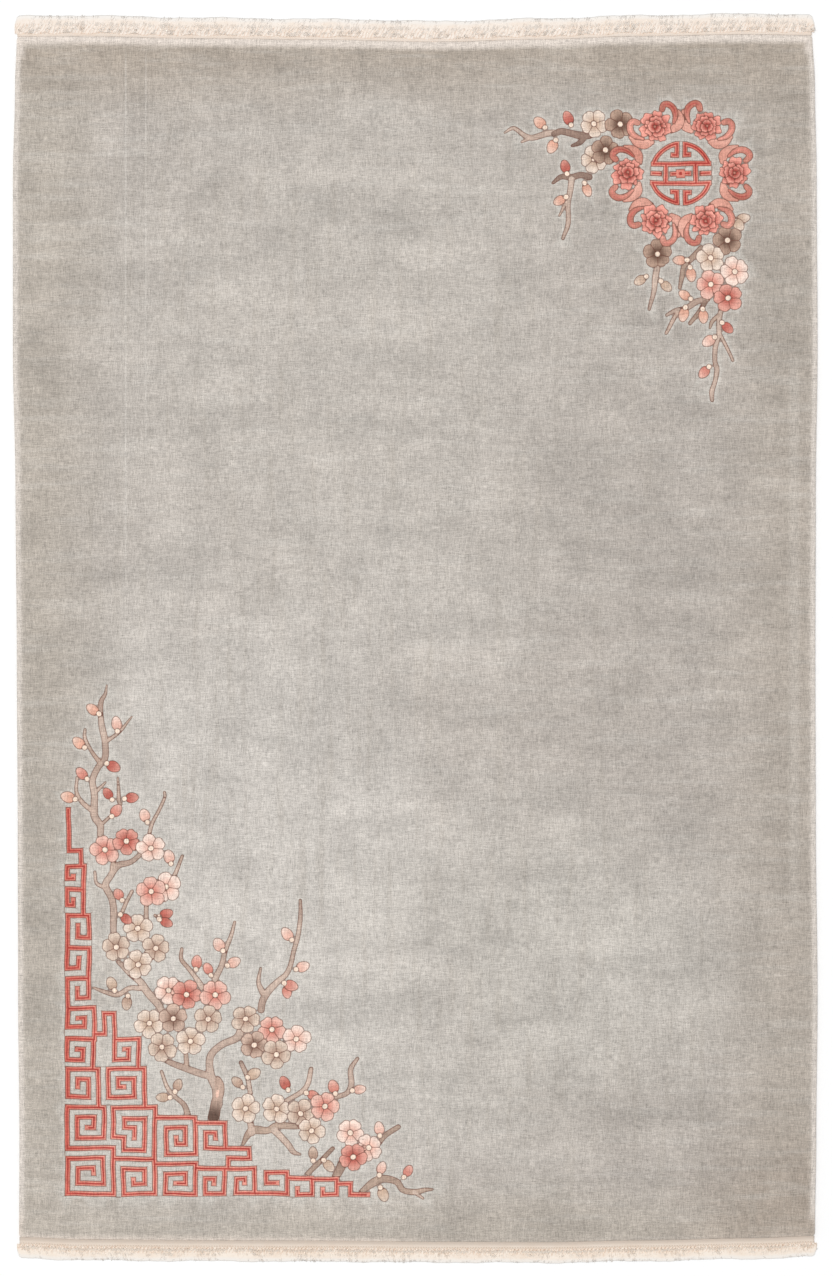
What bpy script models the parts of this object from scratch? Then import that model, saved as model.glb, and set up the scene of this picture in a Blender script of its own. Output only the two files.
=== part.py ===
"""Hand-knotted wool carpet: the pile body, and at each end a flat-woven band with its cotton fringe.

Metres, +Z up.  The carpet lies flat with its underside at z = 0, its length along Y and its
width along X.  The origin is the middle of the whole carpet's outline, on the underside.
"""

import math

import bmesh
import bpy

# Driving dimensions of the woven piece
CARPET_WIDTH = 1.830        # selvedge to selvedge
PILE_LENGTH = 2.743         # knotted pile, end to end
PILE_HEIGHT = 0.013         # floor to the tips of the pile
PILE_WALL = 0.006           # straight part of the pile's flank, up from the floor
PILE_SPLAY = 0.014          # how far the tips round over at every edge
CORNER_RADIUS = 0.011       # rounding of the pile's corners, seen from above
PIECE_GAP = 0.0003          # between the pile and an end band

# Flat-woven band and fringe, the same at both ends
BAND_DEPTH = 0.016          # along the carpet
BAND_THICKNESS = 0.003
BAND_SIDE_MARGIN = 0.001    # the band stops this far inside the selvedge
FRINGE_LENGTH = 0.028
LOCKS_PER_END = 132
LOCK_GAP = 0.0028           # open space between neighbouring locks
LOCK_BELLY = 0.0055         # thickness of a lock at its fullest
LOCK_TIP = 0.0032           # thickness at its end
LOCK_TIP_WIDTH = 0.66       # share of the lock's width that is left at its end
LOCK_SWAY = 0.0030          # sideways lean of the tips, which drifts along the fringe
LOCK_TRIM = 0.0016          # unevenness of the cut ends

# How many straight steps make up each edge of the pile
STEPS_ALONG = 30
STEPS_ACROSS = 34
STEPS_CORNER = 3

# Centres of the rounded corners
CORNER_ACROSS = 0.5 * CARPET_WIDTH - CORNER_RADIUS - PILE_SPLAY
CORNER_ALONG = 0.5 * PILE_LENGTH - CORNER_RADIUS - PILE_SPLAY

# The four edges bow a little from true.  Outward is positive; metres.
# Columns: share of the length from the bottom end, left selvedge, right selvedge
SELVEDGE_BOW = (
    (0.00, -0.008, -0.006),
    (0.08, -0.009, -0.003),
    (0.20, -0.006, 0.000),
    (0.34, -0.005, -0.004),
    (0.48, -0.003, -0.005),
    (0.62, 0.000, -0.004),
    (0.74, 0.006, 0.000),
    (0.88, 0.006, -0.002),
    (0.96, 0.001, -0.006),
    (1.00, -0.003, -0.012),
)
# Columns: share of the width from the left selvedge, bottom end, top end
END_BOW = (
    (0.00, -0.010, -0.008),
    (0.08, -0.001, 0.004),
    (0.22, 0.001, -0.001),
    (0.38, 0.002, -0.004),
    (0.53, 0.004, -0.009),
    (0.66, 0.005, -0.003),
    (0.78, 0.001, 0.004),
    (0.92, -0.004, 0.008),
    (1.00, -0.010, 0.005),
)

# Columns: height above the floor, inset from the outline
PILE_PROFILE = (
    (0.0, 0.0),
    (PILE_WALL, 0.0),
    (PILE_WALL + 0.62 * (PILE_HEIGHT - PILE_WALL), 0.22 * PILE_SPLAY),
    (PILE_WALL + 0.90 * (PILE_HEIGHT - PILE_WALL), 0.55 * PILE_SPLAY),
    (PILE_HEIGHT, PILE_SPLAY),
)

# Colours are linear red, green, blue
PILE_COLOUR = (0.50, 0.44, 0.38)
COTTON_COLOUR = (0.86, 0.79, 0.69)


def clear_scene():
    """Remove what the file opened with."""
    for item in list(bpy.data.objects):
        bpy.data.objects.remove(item, do_unlink=True)


def yarn_material(name, colour, roughness):
    """A plain Principled material for one yarn."""
    material = bpy.data.materials.new(name)
    material.use_nodes = True
    shader = material.node_tree.nodes["Principled BSDF"]
    shader.inputs["Base Color"].default_value = (*colour, 1.0)
    shader.inputs["Roughness"].default_value = roughness
    shader.inputs["Metallic"].default_value = 0.0
    return material


def smooth_row(table, share, column):
    """Read one column of a table at a share of the way, eased between its rows."""
    share = min(max(share, 0.0), 1.0)
    for low, high in zip(table, table[1:]):
        if share <= high[0]:
            step = (share - low[0]) / (high[0] - low[0])
            ease = step * step * (3.0 - 2.0 * step)
            return low[column] + (high[column] - low[column]) * ease
    return table[-1][column]


def bowed(across, along):
    """Move a point of the true rectangle to where it lies on the carpet as laid.

    across runs from minus to plus half the width, along from minus to plus half the pile's length.
    """
    side = across / CARPET_WIDTH + 0.5
    end = along / PILE_LENGTH + 0.5
    left = -smooth_row(SELVEDGE_BOW, end, 1)
    right = smooth_row(SELVEDGE_BOW, end, 2)
    bottom = -smooth_row(END_BOW, side, 1)
    top = smooth_row(END_BOW, side, 2)
    return (across + left + (right - left) * side, along + bottom + (top - bottom) * end)


def even_steps(first, last, steps):
    """Places from first to last, both included."""
    return [first + (last - first) * step / steps for step in range(steps + 1)]


def pile_ring(inset):
    """The pile's outline, drawn in by an inset: four round corners, each with the run after it."""
    radius = CORNER_RADIUS + PILE_SPLAY - inset
    ring = []
    for quarter, (side, end) in enumerate(((1, -1), (1, 1), (-1, 1), (-1, -1))):
        start = 90.0 * (quarter - 1)
        for degrees in even_steps(start, start + 90.0, STEPS_CORNER):
            ring.append((side * CORNER_ACROSS + radius * math.cos(math.radians(degrees)),
                         end * CORNER_ALONG + radius * math.sin(math.radians(degrees))))
        if quarter in (0, 2):
            for share in even_steps(-side, side, STEPS_ALONG)[1:-1]:
                ring.append((side * (CORNER_ACROSS + radius), share * CORNER_ALONG))
        else:
            for share in even_steps(end, -end, STEPS_ACROSS)[1:-1]:
                ring.append((share * CORNER_ACROSS, end * (CORNER_ALONG + radius)))
    return [bowed(across, along) for across, along in ring]


def finish_object(name, bm, material):
    """Turn a closed bmesh into a named object with one material."""
    bmesh.ops.recalc_face_normals(bm, faces=bm.faces[:])
    mesh = bpy.data.meshes.new(name)
    bm.to_mesh(mesh)
    bm.free()
    mesh.materials.append(material)
    piece = bpy.data.objects.new(name, mesh)
    bpy.context.scene.collection.objects.link(piece)
    return piece


def make_pile(material):
    """The knotted body: a flat slab whose tips round over at the edges."""
    bm = bmesh.new()
    rings = []
    for height, inset in PILE_PROFILE:
        rings.append([bm.verts.new((x, y, height)) for x, y in pile_ring(inset)])
    for lower, upper in zip(rings, rings[1:]):
        for index in range(len(lower)):
            after = (index + 1) % len(lower)
            bm.faces.new((lower[index], lower[after], upper[after], upper[index]))
    bm.faces.new(rings[-1])
    bm.faces.new(list(reversed(rings[0])))
    return finish_object("pile_rug", bm, material)


def zip_lines(bm, near, far):
    """Fill between two lines of vertices that run the same way, with one triangle for each step."""
    place_near = 0
    place_far = 0
    while place_near < len(near) - 1 or place_far < len(far) - 1:
        at_far_end = place_far == len(far) - 1
        at_near_end = place_near == len(near) - 1
        if at_far_end or not at_near_end and near[place_near + 1].co.x <= far[place_far + 1].co.x:
            bm.faces.new((near[place_near], near[place_near + 1], far[place_far]))
            place_near += 1
        else:
            bm.faces.new((near[place_near], far[place_far + 1], far[place_far]))
            place_far += 1


def lock_sections(index, left, right):
    """Where one lock's sections lie: distance out from the band, left, right and thickness."""
    drift = math.sin(0.19 * index) * 0.6 + math.sin(0.47 * index + 1.3) * 0.4
    trim = math.sin(2.4 * index) * 0.6 + math.sin(0.31 * index + 0.7) * 0.4
    middle = 0.5 * (left + right)
    half = 0.5 * (right - left)
    length = FRINGE_LENGTH - LOCK_TRIM * (1.0 + trim)
    sway = LOCK_SWAY * drift
    tip = half * LOCK_TIP_WIDTH
    return (
        (0.0, left, right, BAND_THICKNESS),
        (0.45 * length, middle + 0.3 * sway - half, middle + 0.3 * sway + half, LOCK_BELLY),
        (length, middle + sway - tip, middle + sway + tip, LOCK_TIP),
    )


def make_fringed_end(name, end, material):
    """A flat-woven band with a row of locks along its outer edge; end is 1 at the top, -1 below."""
    bm = bmesh.new()
    inner = 0.5 * PILE_LENGTH + PIECE_GAP
    outer = inner + BAND_DEPTH
    half_width = 0.5 * CARPET_WIDTH - BAND_SIDE_MARGIN
    pitch = (2.0 * half_width + LOCK_GAP) / LOCKS_PER_END

    def corner(across, beyond, height):
        x, y = bowed(across, end * 0.5 * PILE_LENGTH)
        return bm.verts.new((x, y + end * (beyond - 0.5 * PILE_LENGTH), height))

    outer_low = []
    outer_high = []
    for index in range(LOCKS_PER_END):
        left = -half_width + index * pitch
        right = left + pitch - LOCK_GAP
        rings = []
        for out, low_x, high_x, thickness in lock_sections(index, left, right):
            rings.append([
                corner(low_x, outer + out, 0.0),
                corner(high_x, outer + out, 0.0),
                corner(high_x, outer + out, thickness),
                corner(low_x, outer + out, thickness),
            ])
        for near, far in zip(rings, rings[1:]):
            for side in range(4):
                after = (side + 1) % 4
                bm.faces.new((near[side], near[after], far[after], far[side]))
        bm.faces.new(rings[-1])
        root = rings[0]
        if outer_low:
            bm.faces.new((outer_low[-1], root[0], root[3], outer_high[-1]))
        outer_low += [root[0], root[1]]
        outer_high += [root[3], root[2]]

    stations = [-half_width] + even_steps(-CORNER_ACROSS, CORNER_ACROSS, STEPS_ACROSS) + [half_width]
    inner_low = [corner(across, inner, 0.0) for across in stations]
    inner_high = [corner(across, inner, BAND_THICKNESS) for across in stations]
    for step in range(len(stations) - 1):
        bm.faces.new((inner_low[step], inner_low[step + 1], inner_high[step + 1], inner_high[step]))
    zip_lines(bm, inner_low, outer_low)
    zip_lines(bm, inner_high, outer_high)
    for place in (0, -1):
        bm.faces.new((inner_low[place], outer_low[place], outer_high[place], inner_high[place]))
    return finish_object(name, bm, material)


def centre_on_origin(pieces):
    """Slide the meshes together so that the middle of their common outline is at the origin."""
    points = [vertex.co for piece in pieces for vertex in piece.data.vertices]
    middle_x = 0.5 * (min(p.x for p in points) + max(p.x for p in points))
    middle_y = 0.5 * (min(p.y for p in points) + max(p.y for p in points))
    for piece in pieces:
        for vertex in piece.data.vertices:
            vertex.co.x -= middle_x
            vertex.co.y -= middle_y


def main():
    clear_scene()
    wool = yarn_material("grey_beige_wool", PILE_COLOUR, 0.92)
    cotton = yarn_material("cream_cotton", COTTON_COLOUR, 0.88)
    pieces = [
        make_pile(wool),
        make_fringed_end("fringe_top", 1, cotton),
        make_fringed_end("fringe_bottom", -1, cotton),
    ]
    centre_on_origin(pieces)


main()
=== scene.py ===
import math
import random
from collections import namedtuple

import bpy
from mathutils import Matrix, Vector, kdtree
from mathutils.bvhtree import BVHTree
from mathutils.geometry import delaunay_2d_cdt


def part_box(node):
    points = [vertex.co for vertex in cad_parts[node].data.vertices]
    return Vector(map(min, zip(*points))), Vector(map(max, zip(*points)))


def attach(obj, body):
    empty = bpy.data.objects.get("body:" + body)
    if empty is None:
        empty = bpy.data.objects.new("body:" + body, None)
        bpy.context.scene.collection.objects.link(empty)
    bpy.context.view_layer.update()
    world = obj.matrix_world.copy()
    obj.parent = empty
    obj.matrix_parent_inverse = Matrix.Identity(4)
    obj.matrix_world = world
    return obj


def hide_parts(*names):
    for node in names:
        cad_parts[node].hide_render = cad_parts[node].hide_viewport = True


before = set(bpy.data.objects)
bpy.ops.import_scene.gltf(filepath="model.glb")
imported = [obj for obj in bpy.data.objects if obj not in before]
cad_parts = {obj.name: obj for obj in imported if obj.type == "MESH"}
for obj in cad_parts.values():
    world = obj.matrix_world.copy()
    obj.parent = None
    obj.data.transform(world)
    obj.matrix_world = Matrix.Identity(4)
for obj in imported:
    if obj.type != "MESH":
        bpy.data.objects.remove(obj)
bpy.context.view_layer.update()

# Looks of the hand-knotted wool carpet: carved pile with its sprays, key fret and roundel, bands, fringes.
# Finished meshes are in metres, +Z up.  The pattern is worked out in millimetres from the carpet's middle,
# and its tables are in centimetres from the pile's lower left corner, across first and then along.

# Sizes of the carpet, millimetres
CARPET_WIDTH = 1830.0
PILE_LENGTH = 2743.0
PILE_HEIGHT = 13.0
PILE_WALL = 6.0
PILE_SPLAY = 14.0
# The border strip's paleness is painted light on the lit side of the pile
PILE_BORDER = 25.0          # the paler strip that runs round the top, from the outline in
CORNER_RADIUS = 8.0
BAND_DEPTH = 16.0
BAND_GAP = 0.3              # between the pile and an end band
# The flank's painted light is set apart for the sides and for each end
END_ZONE = 40.0             # how far from an end the flank is coloured as that end's

# How the pattern is cut out of the pile, millimetres
GROOVE_AT_FIELD = 2.4       # depth of the line cut between a motif and the field
GROOVE_IN_MOTIF = 1.3       # depth between two parts of a motif
GROOVE_REACH = 3.0          # from the bottom of a cut up to full pile
# Painted light: the field is painted paler near a motif, as light on the bevel-cut pile there
HALO_REACH = 9.0            # how far from a motif the field is paler
CUT_STEP = 6.0              # longest straight step along a cut
SHORTEST_CARVED = 0.8       # a cut edge no longer than this gets no points beside it
FIELD_STEP = 30.0           # spacing of points in the open field
FIELD_MARGIN = 36.0         # the open field's points keep this far from the edge
MERGE = 0.002               # points of the pattern nearer than this become one

# Rounding of the pile's edge.  Columns: inset, height as a share of the rise above the wall, and how much
# of the border's painted light, the lit side of the pile, shows there, at the sides, at the top end and at
# the bottom end
PILE_EDGE = (
    (19.0, 1.0, 0.05, 0.40, 0.00),
    (PILE_SPLAY, 0.995, 0.25, 0.85, 0.10),
    (10.0, 0.97, 0.80, 1.00, 0.28),
    (6.5, 0.87, 1.00, 1.00, 0.55),
    (3.0, 0.66, 1.00, 1.00, 0.85),
    (0.8, 0.36, 0.90, 1.00, 1.00),
    (0.0, 0.0, 0.75, 1.00, 1.00),
    (0.0, -PILE_WALL / (PILE_HEIGHT - PILE_WALL), 0.60, 0.90, 0.90),
)

# Columns: share of the length from the bottom end, left selvedge, right selvedge; outward, millimetres
SELVEDGE_BOW = (
    (0.00, -8.0, -6.0),
    (0.08, -9.0, -3.0),
    (0.20, -6.0, 0.0),
    (0.34, -5.0, -4.0),
    (0.48, -3.0, -5.0),
    (0.62, 0.0, -4.0),
    (0.74, 6.0, 0.0),
    (0.88, 6.0, -2.0),
    (0.96, 1.0, -6.0),
    (1.00, -3.0, -12.0),
)
# Columns: share of the width from the left selvedge, bottom end, top end
END_BOW = (
    (0.00, -6.0, 3.0),
    (0.08, -1.0, 4.0),
    (0.22, 1.0, -1.0),
    (0.38, 2.0, -4.0),
    (0.53, 4.0, -9.0),
    (0.66, 5.0, -3.0),
    (0.78, 1.0, 4.0),
    (0.92, -4.0, 8.0),
    (1.00, -9.0, 6.0),
)

# Columns: name, colour at the heart, colour at the rim; 0 to 255 as seen on screen
TONES = {
    "crimson": ((192, 106, 94), (230, 170, 155)),
    "coral": ((216, 142, 127), (240, 197, 182)),
    "blush": ((234, 188, 171), (249, 227, 214)),
    "cream": ((204, 176, 155), (240, 222, 207)),
    "taupe": ((188, 158, 140), (228, 208, 191)),
    "umber": ((116, 89, 76), (188, 158, 140)),
    "fawn": ((152, 122, 107), (216, 188, 171)),
    "peach": ((226, 172, 150), (246, 216, 199)),
    "tan": ((202, 174, 153), (232, 212, 195)),
    "pistil": ((249, 224, 203), (252, 234, 217)),
    "twig": ((190, 164, 148), (215, 192, 177)),
    "stem": ((180, 155, 141), (212, 190, 175)),
    "root": ((156, 130, 116), (196, 172, 155)),
    "trunk": ((104, 82, 72), (200, 172, 156)),
    "bark": ((108, 86, 77), (158, 132, 119)),
    "fret": ((214, 118, 103), (235, 160, 144)),
    "fret line": ((172, 62, 56), (194, 88, 78)),
    "scroll": ((188, 112, 97), (218, 156, 140)),
    "lobe": ((212, 147, 130), (236, 181, 164)),
    "peony": ((172, 76, 68), (250, 174, 158)),
}

# Five-petalled blossoms.  Columns: across, along, tone, turn in degrees
BLOSSOMS = (
    (20.5, 89.0, "coral", 35), (25.5, 91.0, "crimson", 52), (31.0, 89.5, "blush", 30),
    (34.5, 80.5, "blush", 29), (31.0, 79.5, "coral", 25), (28.0, 71.0, "cream", 20),
    (23.0, 67.0, "taupe", 28), (32.0, 66.5, "taupe", 7), (28.0, 63.0, "cream", 36),
    (35.0, 57.0, "blush", 50), (39.0, 56.0, "crimson", 65), (45.5, 56.0, "coral", 55),
    (30.5, 49.5, "cream", 52), (36.0, 50.5, "fawn", 20), (44.0, 50.5, "taupe", 12),
    (52.5, 50.5, "taupe", 64), (33.5, 44.0, "taupe", 50), (40.0, 45.5, "cream", 12),
    (58.5, 48.0, "coral", 56), (64.0, 46.0, "blush", 10), (54.5, 44.5, "fawn", 70),
    (59.5, 42.5, "taupe", 60), (52.5, 30.0, "cream", 5), (59.5, 30.0, "cream", 7),
    (65.0, 29.0, "taupe", 63), (70.5, 30.5, "coral", 0), (67.5, 25.0, "cream", 69),
    (76.5, 24.5, "blush", 57), (80.5, 21.0, "blush", 40), (77.0, 19.0, "crimson", 60),
    (132.0, 254.5, "cream", 57), (138.0, 254.5, "umber", 40), (132.0, 246.5, "cream", 40),
    (134.5, 248.5, "umber", 12), (146.5, 225.0, "umber", 20), (162.5, 228.0, "umber", 35),
    (158.5, 224.0, "cream", 30), (164.0, 221.0, "blush", 36), (158.5, 218.0, "coral", 35),
    (162.5, 215.0, "crimson", 33),
)

# Closed buds.  Columns: across, along, tone, direction from stalk to tip in degrees
BUDS = (
    (17.5, 121.0, "peach", 148), (23.0, 118.0, "blush", 95), (14.5, 113.5, "peach", 142),
    (22.5, 108.0, "crimson", -27), (15.0, 106.5, "coral", 136), (12.0, 101.0, "peach", 165),
    (21.0, 102.0, "crimson", 126), (26.5, 101.0, "crimson", 8), (23.0, 98.0, "coral", 53),
    (29.5, 97.0, "blush", 115), (35.0, 87.5, "blush", 107), (23.5, 79.0, "coral", 121),
    (34.5, 74.5, "crimson", 25), (34.5, 72.5, "crimson", -25),
    (22.0, 58.5, "tan", 115), (25.5, 54.0, "taupe", -101), (37.0, 35.5, "taupe", 66),
    (33.5, 32.5, "tan", 180), (50.5, 36.0, "taupe", 137), (54.5, 38.0, "tan", 32),
    (61.5, 36.0, "crimson", 117), (68.0, 33.0, "coral", -20), (72.5, 35.0, "coral", 105),
    (78.5, 34.5, "blush", 10), (83.0, 25.5, "blush", 94), (83.5, 16.5, "blush", 76),
    (89.5, 16.0, "coral", 57), (84.0, 10.5, "tan", -66), (68.0, 20.0, "taupe", 90),
    (71.5, 17.0, "cream", -50), (62.0, 70.0, "blush", 128), (65.5, 62.5, "blush", 23),
    (62.0, 56.5, "coral", -80), (63.0, 58.0, "coral", -20), (50.0, 63.5, "blush", 25),
    (41.5, 63.5, "coral", 83), (44.0, 62.0, "coral", 112), (46.5, 67.5, "blush", 123),
    (119.5, 255.0, "peach", 137), (126.0, 256.0, "crimson", 111), (122.5, 249.5, "peach", -118),
    (125.5, 245.0, "crimson", 105), (130.5, 239.5, "peach", -72), (124.0, 237.0, "peach", -152),
    (142.5, 219.0, "tan", -150), (148.5, 217.5, "tan", -47), (151.5, 223.5, "peach", 180),
    (154.0, 220.0, "peach", -85), (152.5, 215.5, "peach", 150), (152.5, 211.0, "peach", -100),
    (157.0, 210.5, "peach", -85), (162.5, 208.0, "crimson", -42), (158.0, 205.0, "blush", -150),
    (157.0, 198.0, "coral", -132), (166.0, 233.0, "cream", 10), (165.0, 231.5, "cream", -50),
)

# A bud that lies over the blossom beside it, with the same columns
BUDS_ABOVE = (
    (25.4, 73.2, "crimson", -36),
)

# Branches.  Columns: tone, then the points that it grows through as across, along and width
BRANCHES = (
    ("stem", ((21.0, 126.5, 0.3), (20.5, 124.5, 0.7), (19.5, 122.5, 1.1), (19.5, 118.0, 1.3),
              (20.5, 114.0, 1.4), (20.5, 110.0, 1.4), (19.0, 108.0, 1.4), (17.5, 105.0, 1.4),
              (18.0, 101.5, 1.5), (18.0, 97.0, 1.6), (19.5, 94.5, 1.5), (19.5, 92.0, 1.4))),
    ("twig", ((26.5, 119.5, 0.3), (24.5, 117.0, 0.7), (23.0, 115.5, 0.8), (21.0, 114.0, 0.9))),
    ("twig", ((16.0, 116.5, 0.6), (16.0, 114.5, 0.8), (17.5, 111.5, 0.8), (19.5, 109.0, 1.1))),
    ("twig", ((14.0, 105.5, 0.6), (14.0, 102.0, 0.8), (15.5, 99.5, 1.0), (18.0, 97.5, 1.1))),
    ("twig", ((20.5, 104.5, 0.4), (18.5, 102.5, 0.9))),
    ("twig", ((23.5, 105.5, 0.5), (23.5, 100.5, 0.9), (24.0, 99.5, 0.7))),
    ("twig", ((21.5, 96.5, 0.7), (19.5, 94.5, 0.9))),
    ("twig", ((34.0, 102.0, 0.6), (34.0, 100.5, 0.7), (31.5, 95.5, 0.8), (30.5, 92.0, 0.9),
              (30.5, 89.5, 0.9))),
    ("stem", ((30.0, 89.5, 0.9), (26.5, 86.5, 1.1), (23.5, 85.5, 1.4), (21.5, 83.0, 1.4),
              (20.5, 81.0, 1.5), (22.0, 78.0, 1.5), (22.5, 74.5, 1.5), (22.5, 70.5, 1.4))),
    ("twig", ((22.5, 86.5, 1.1), (22.0, 84.0, 1.1))),
    ("twig", ((18.0, 84.0, 0.6), (18.5, 81.5, 0.7), (20.5, 80.5, 1.1))),
    ("twig", ((26.5, 79.5, 0.8), (24.5, 75.0, 0.9))),
    ("twig", ((30.0, 76.5, 1.0), (30.0, 73.0, 1.0))),
    ("twig", ((32.0, 74.0, 0.7), (33.0, 73.5, 0.7))),
    ("stem", ((23.5, 63.5, 1.1), (26.0, 61.0, 1.3), (28.5, 59.0, 1.6), (30.0, 57.0, 1.7),
              (32.5, 54.0, 1.6), (33.5, 52.0, 1.5))),
    ("twig", ((18.0, 57.5, 0.5), (20.5, 56.5, 0.9), (23.5, 56.0, 1.1), (26.0, 57.5, 1.1),
              (28.5, 57.5, 1.1))),
    ("stem", ((44.0, 37.5, 1.6), (39.5, 39.0, 1.5), (37.0, 40.0, 1.4), (34.5, 41.0, 1.1))),
    ("stem", ((46.2, 31.0, 2.3), (46.0, 34.5, 2.2), (44.5, 37.5, 1.8),
              (44.5, 42.0, 1.6), (47.0, 44.5, 1.6), (50.5, 46.0, 1.8), (51.5, 48.0, 1.8))),
    ("trunk", ((45.3, 28.0, 2.6), (45.6, 29.8, 2.5), (45.9, 31.6, 2.3), (46.5, 33.4, 2.1), (46.4, 35.4, 2.1),
               (46.0, 36.6, 1.5))),
    ("peach", ((46.1, 32.9, 0.6), (46.2, 34.0, 0.7))),
    ("twig", ((39.0, 42.5, 1.0), (39.0, 40.0, 1.1))),
    ("stem", ((39.5, 28.5, 1.4), (38.5, 31.0, 1.1), (36.0, 33.0, 1.0), (34.5, 35.0, 0.9),
              (33.5, 38.5, 0.7))),
    ("twig", ((38.0, 66.5, 0.7), (38.0, 64.0, 0.9), (39.5, 62.0, 1.0), (41.0, 60.0, 1.1),
              (42.5, 57.5, 1.4))),
    ("stem", ((50.0, 72.5, 0.6), (49.0, 69.0, 0.9), (48.0, 66.0, 1.1), (47.0, 62.5, 1.2),
              (45.5, 59.5, 1.4))),
    ("twig", ((38.0, 87.5, 0.7), (37.0, 84.5, 0.9), (36.0, 82.5, 0.9))),
    ("stem", ((65.0, 77.5, 0.7), (65.0, 72.0, 1.0), (63.5, 66.0, 1.0), (62.0, 61.0, 1.1),
              (60.0, 59.0, 1.3), (58.0, 57.0, 1.6), (56.5, 54.5, 1.6), (56.0, 52.5, 1.6))),
    ("twig", ((56.0, 62.0, 0.5), (55.5, 59.0, 0.9), (56.5, 56.5, 1.3))),
    ("stem", ((53.5, 33.5, 1.1), (53.0, 37.0, 1.1), (51.5, 40.5, 1.0))),
    ("root", ((52.0, 22.0, 0.7), (54.0, 25.0, 1.8), (57.5, 25.0, 1.5), (59.5, 26.0, 1.6),
              (62.5, 26.0, 1.4), (65.0, 26.0, 1.1))),
    ("twig", ((53.5, 27.5, 1.4), (54.0, 24.5, 1.4))),
    ("stem", ((59.0, 25.0, 1.6), (62.0, 22.0, 1.4), (63.5, 20.0, 1.1), (65.0, 19.5, 0.5))),
    ("twig", ((62.0, 32.0, 1.1), (65.5, 34.0, 1.1), (67.0, 36.0, 1.1), (67.5, 39.0, 1.0))),
    ("stem", ((73.0, 32.5, 1.1), (75.5, 33.5, 1.1), (76.5, 35.5, 1.3), (76.5, 39.0, 1.1),
              (78.0, 41.5, 0.7))),
    ("root", ((66.5, 15.0, 1.1), (69.0, 17.5, 1.1), (72.5, 21.0, 0.9))),
    ("root", ((73.0, 14.5, 1.8), (74.5, 17.5, 2.1))),
    ("root", ((83.0, 22.0, 0.9), (84.5, 24.0, 1.1), (87.5, 26.0, 1.1))),
    ("root", ((79.0, 11.0, 1.1), (81.5, 13.0, 1.8), (84.0, 14.0, 1.6), (87.0, 13.5, 1.4),
              (88.5, 11.5, 1.3), (91.0, 11.0, 1.3), (93.5, 11.5, 1.0), (95.0, 11.5, 0.5))),
    ("twig", ((91.0, 11.0, 0.9), (93.0, 9.5, 0.5))),
    ("stem", ((111.5, 252.5, 0.4), (113.5, 253.5, 0.9), (116.0, 252.0, 1.1), (118.0, 251.5, 1.3),
              (121.5, 252.5, 1.4), (123.5, 252.6, 1.4))),
    ("bark", ((122.8, 252.4, 1.3), (124.5, 253.0, 1.4), (126.7, 252.4, 1.5), (129.0, 251.8, 1.7),
              (131.0, 252.0, 1.6))),
    ("twig", ((115.5, 250.5, 0.5), (117.5, 251.5, 0.9))),
    ("bark", ((127.0, 249.6, 0.6), (128.6, 250.2, 1.1), (129.6, 251.4, 1.3))),
    ("bark", ((131.0, 242.5, 1.4), (129.0, 243.0, 1.4), (127.0, 242.5, 1.4), (124.5, 242.5, 1.1),
              (122.5, 241.0, 0.6))),
    ("stem", ((127.0, 242.0, 1.4), (126.5, 239.5, 1.3), (126.0, 236.0, 1.1), (126.0, 231.5, 1.0),
              (125.0, 228.5, 0.7))),
    ("twig", ((125.5, 236.5, 0.9), (124.0, 233.5, 0.4))),
    ("stem", ((146.5, 222.0, 1.4), (146.0, 219.0, 1.3), (145.5, 216.0, 1.0), (144.5, 212.5, 0.7))),
    ("root", ((156.5, 226.0, 1.6), (154.5, 224.0, 1.4), (152.5, 222.0, 1.1), (152.0, 220.0, 1.1),
              (151.5, 217.0, 0.7))),
    ("stem", ((158.0, 214.5, 1.1), (155.5, 214.0, 1.4), (153.0, 212.5, 1.3), (150.5, 212.0, 1.0),
              (148.5, 211.0, 0.6))),
    ("twig", ((151.0, 211.5, 1.0), (149.5, 209.0, 0.9), (148.5, 207.0, 0.7))),
    ("root", ((157.5, 214.0, 1.1), (156.0, 211.5, 1.1), (154.0, 209.0, 0.8))),
    ("stem", ((161.0, 212.0, 1.1), (160.5, 209.0, 1.1), (160.5, 206.5, 1.1), (159.5, 203.5, 1.1),
              (159.5, 200.5, 1.0), (160.0, 198.5, 1.1), (159.5, 195.5, 1.0), (159.0, 193.5, 1.1),
              (159.0, 191.5, 0.9))),
    ("root", ((160.5, 211.0, 0.9), (159.0, 209.5, 0.9), (158.5, 208.0, 0.5))),
    ("twig", ((160.5, 207.0, 0.8), (162.0, 204.0, 0.8), (163.5, 200.5, 0.6))),
)

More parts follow.
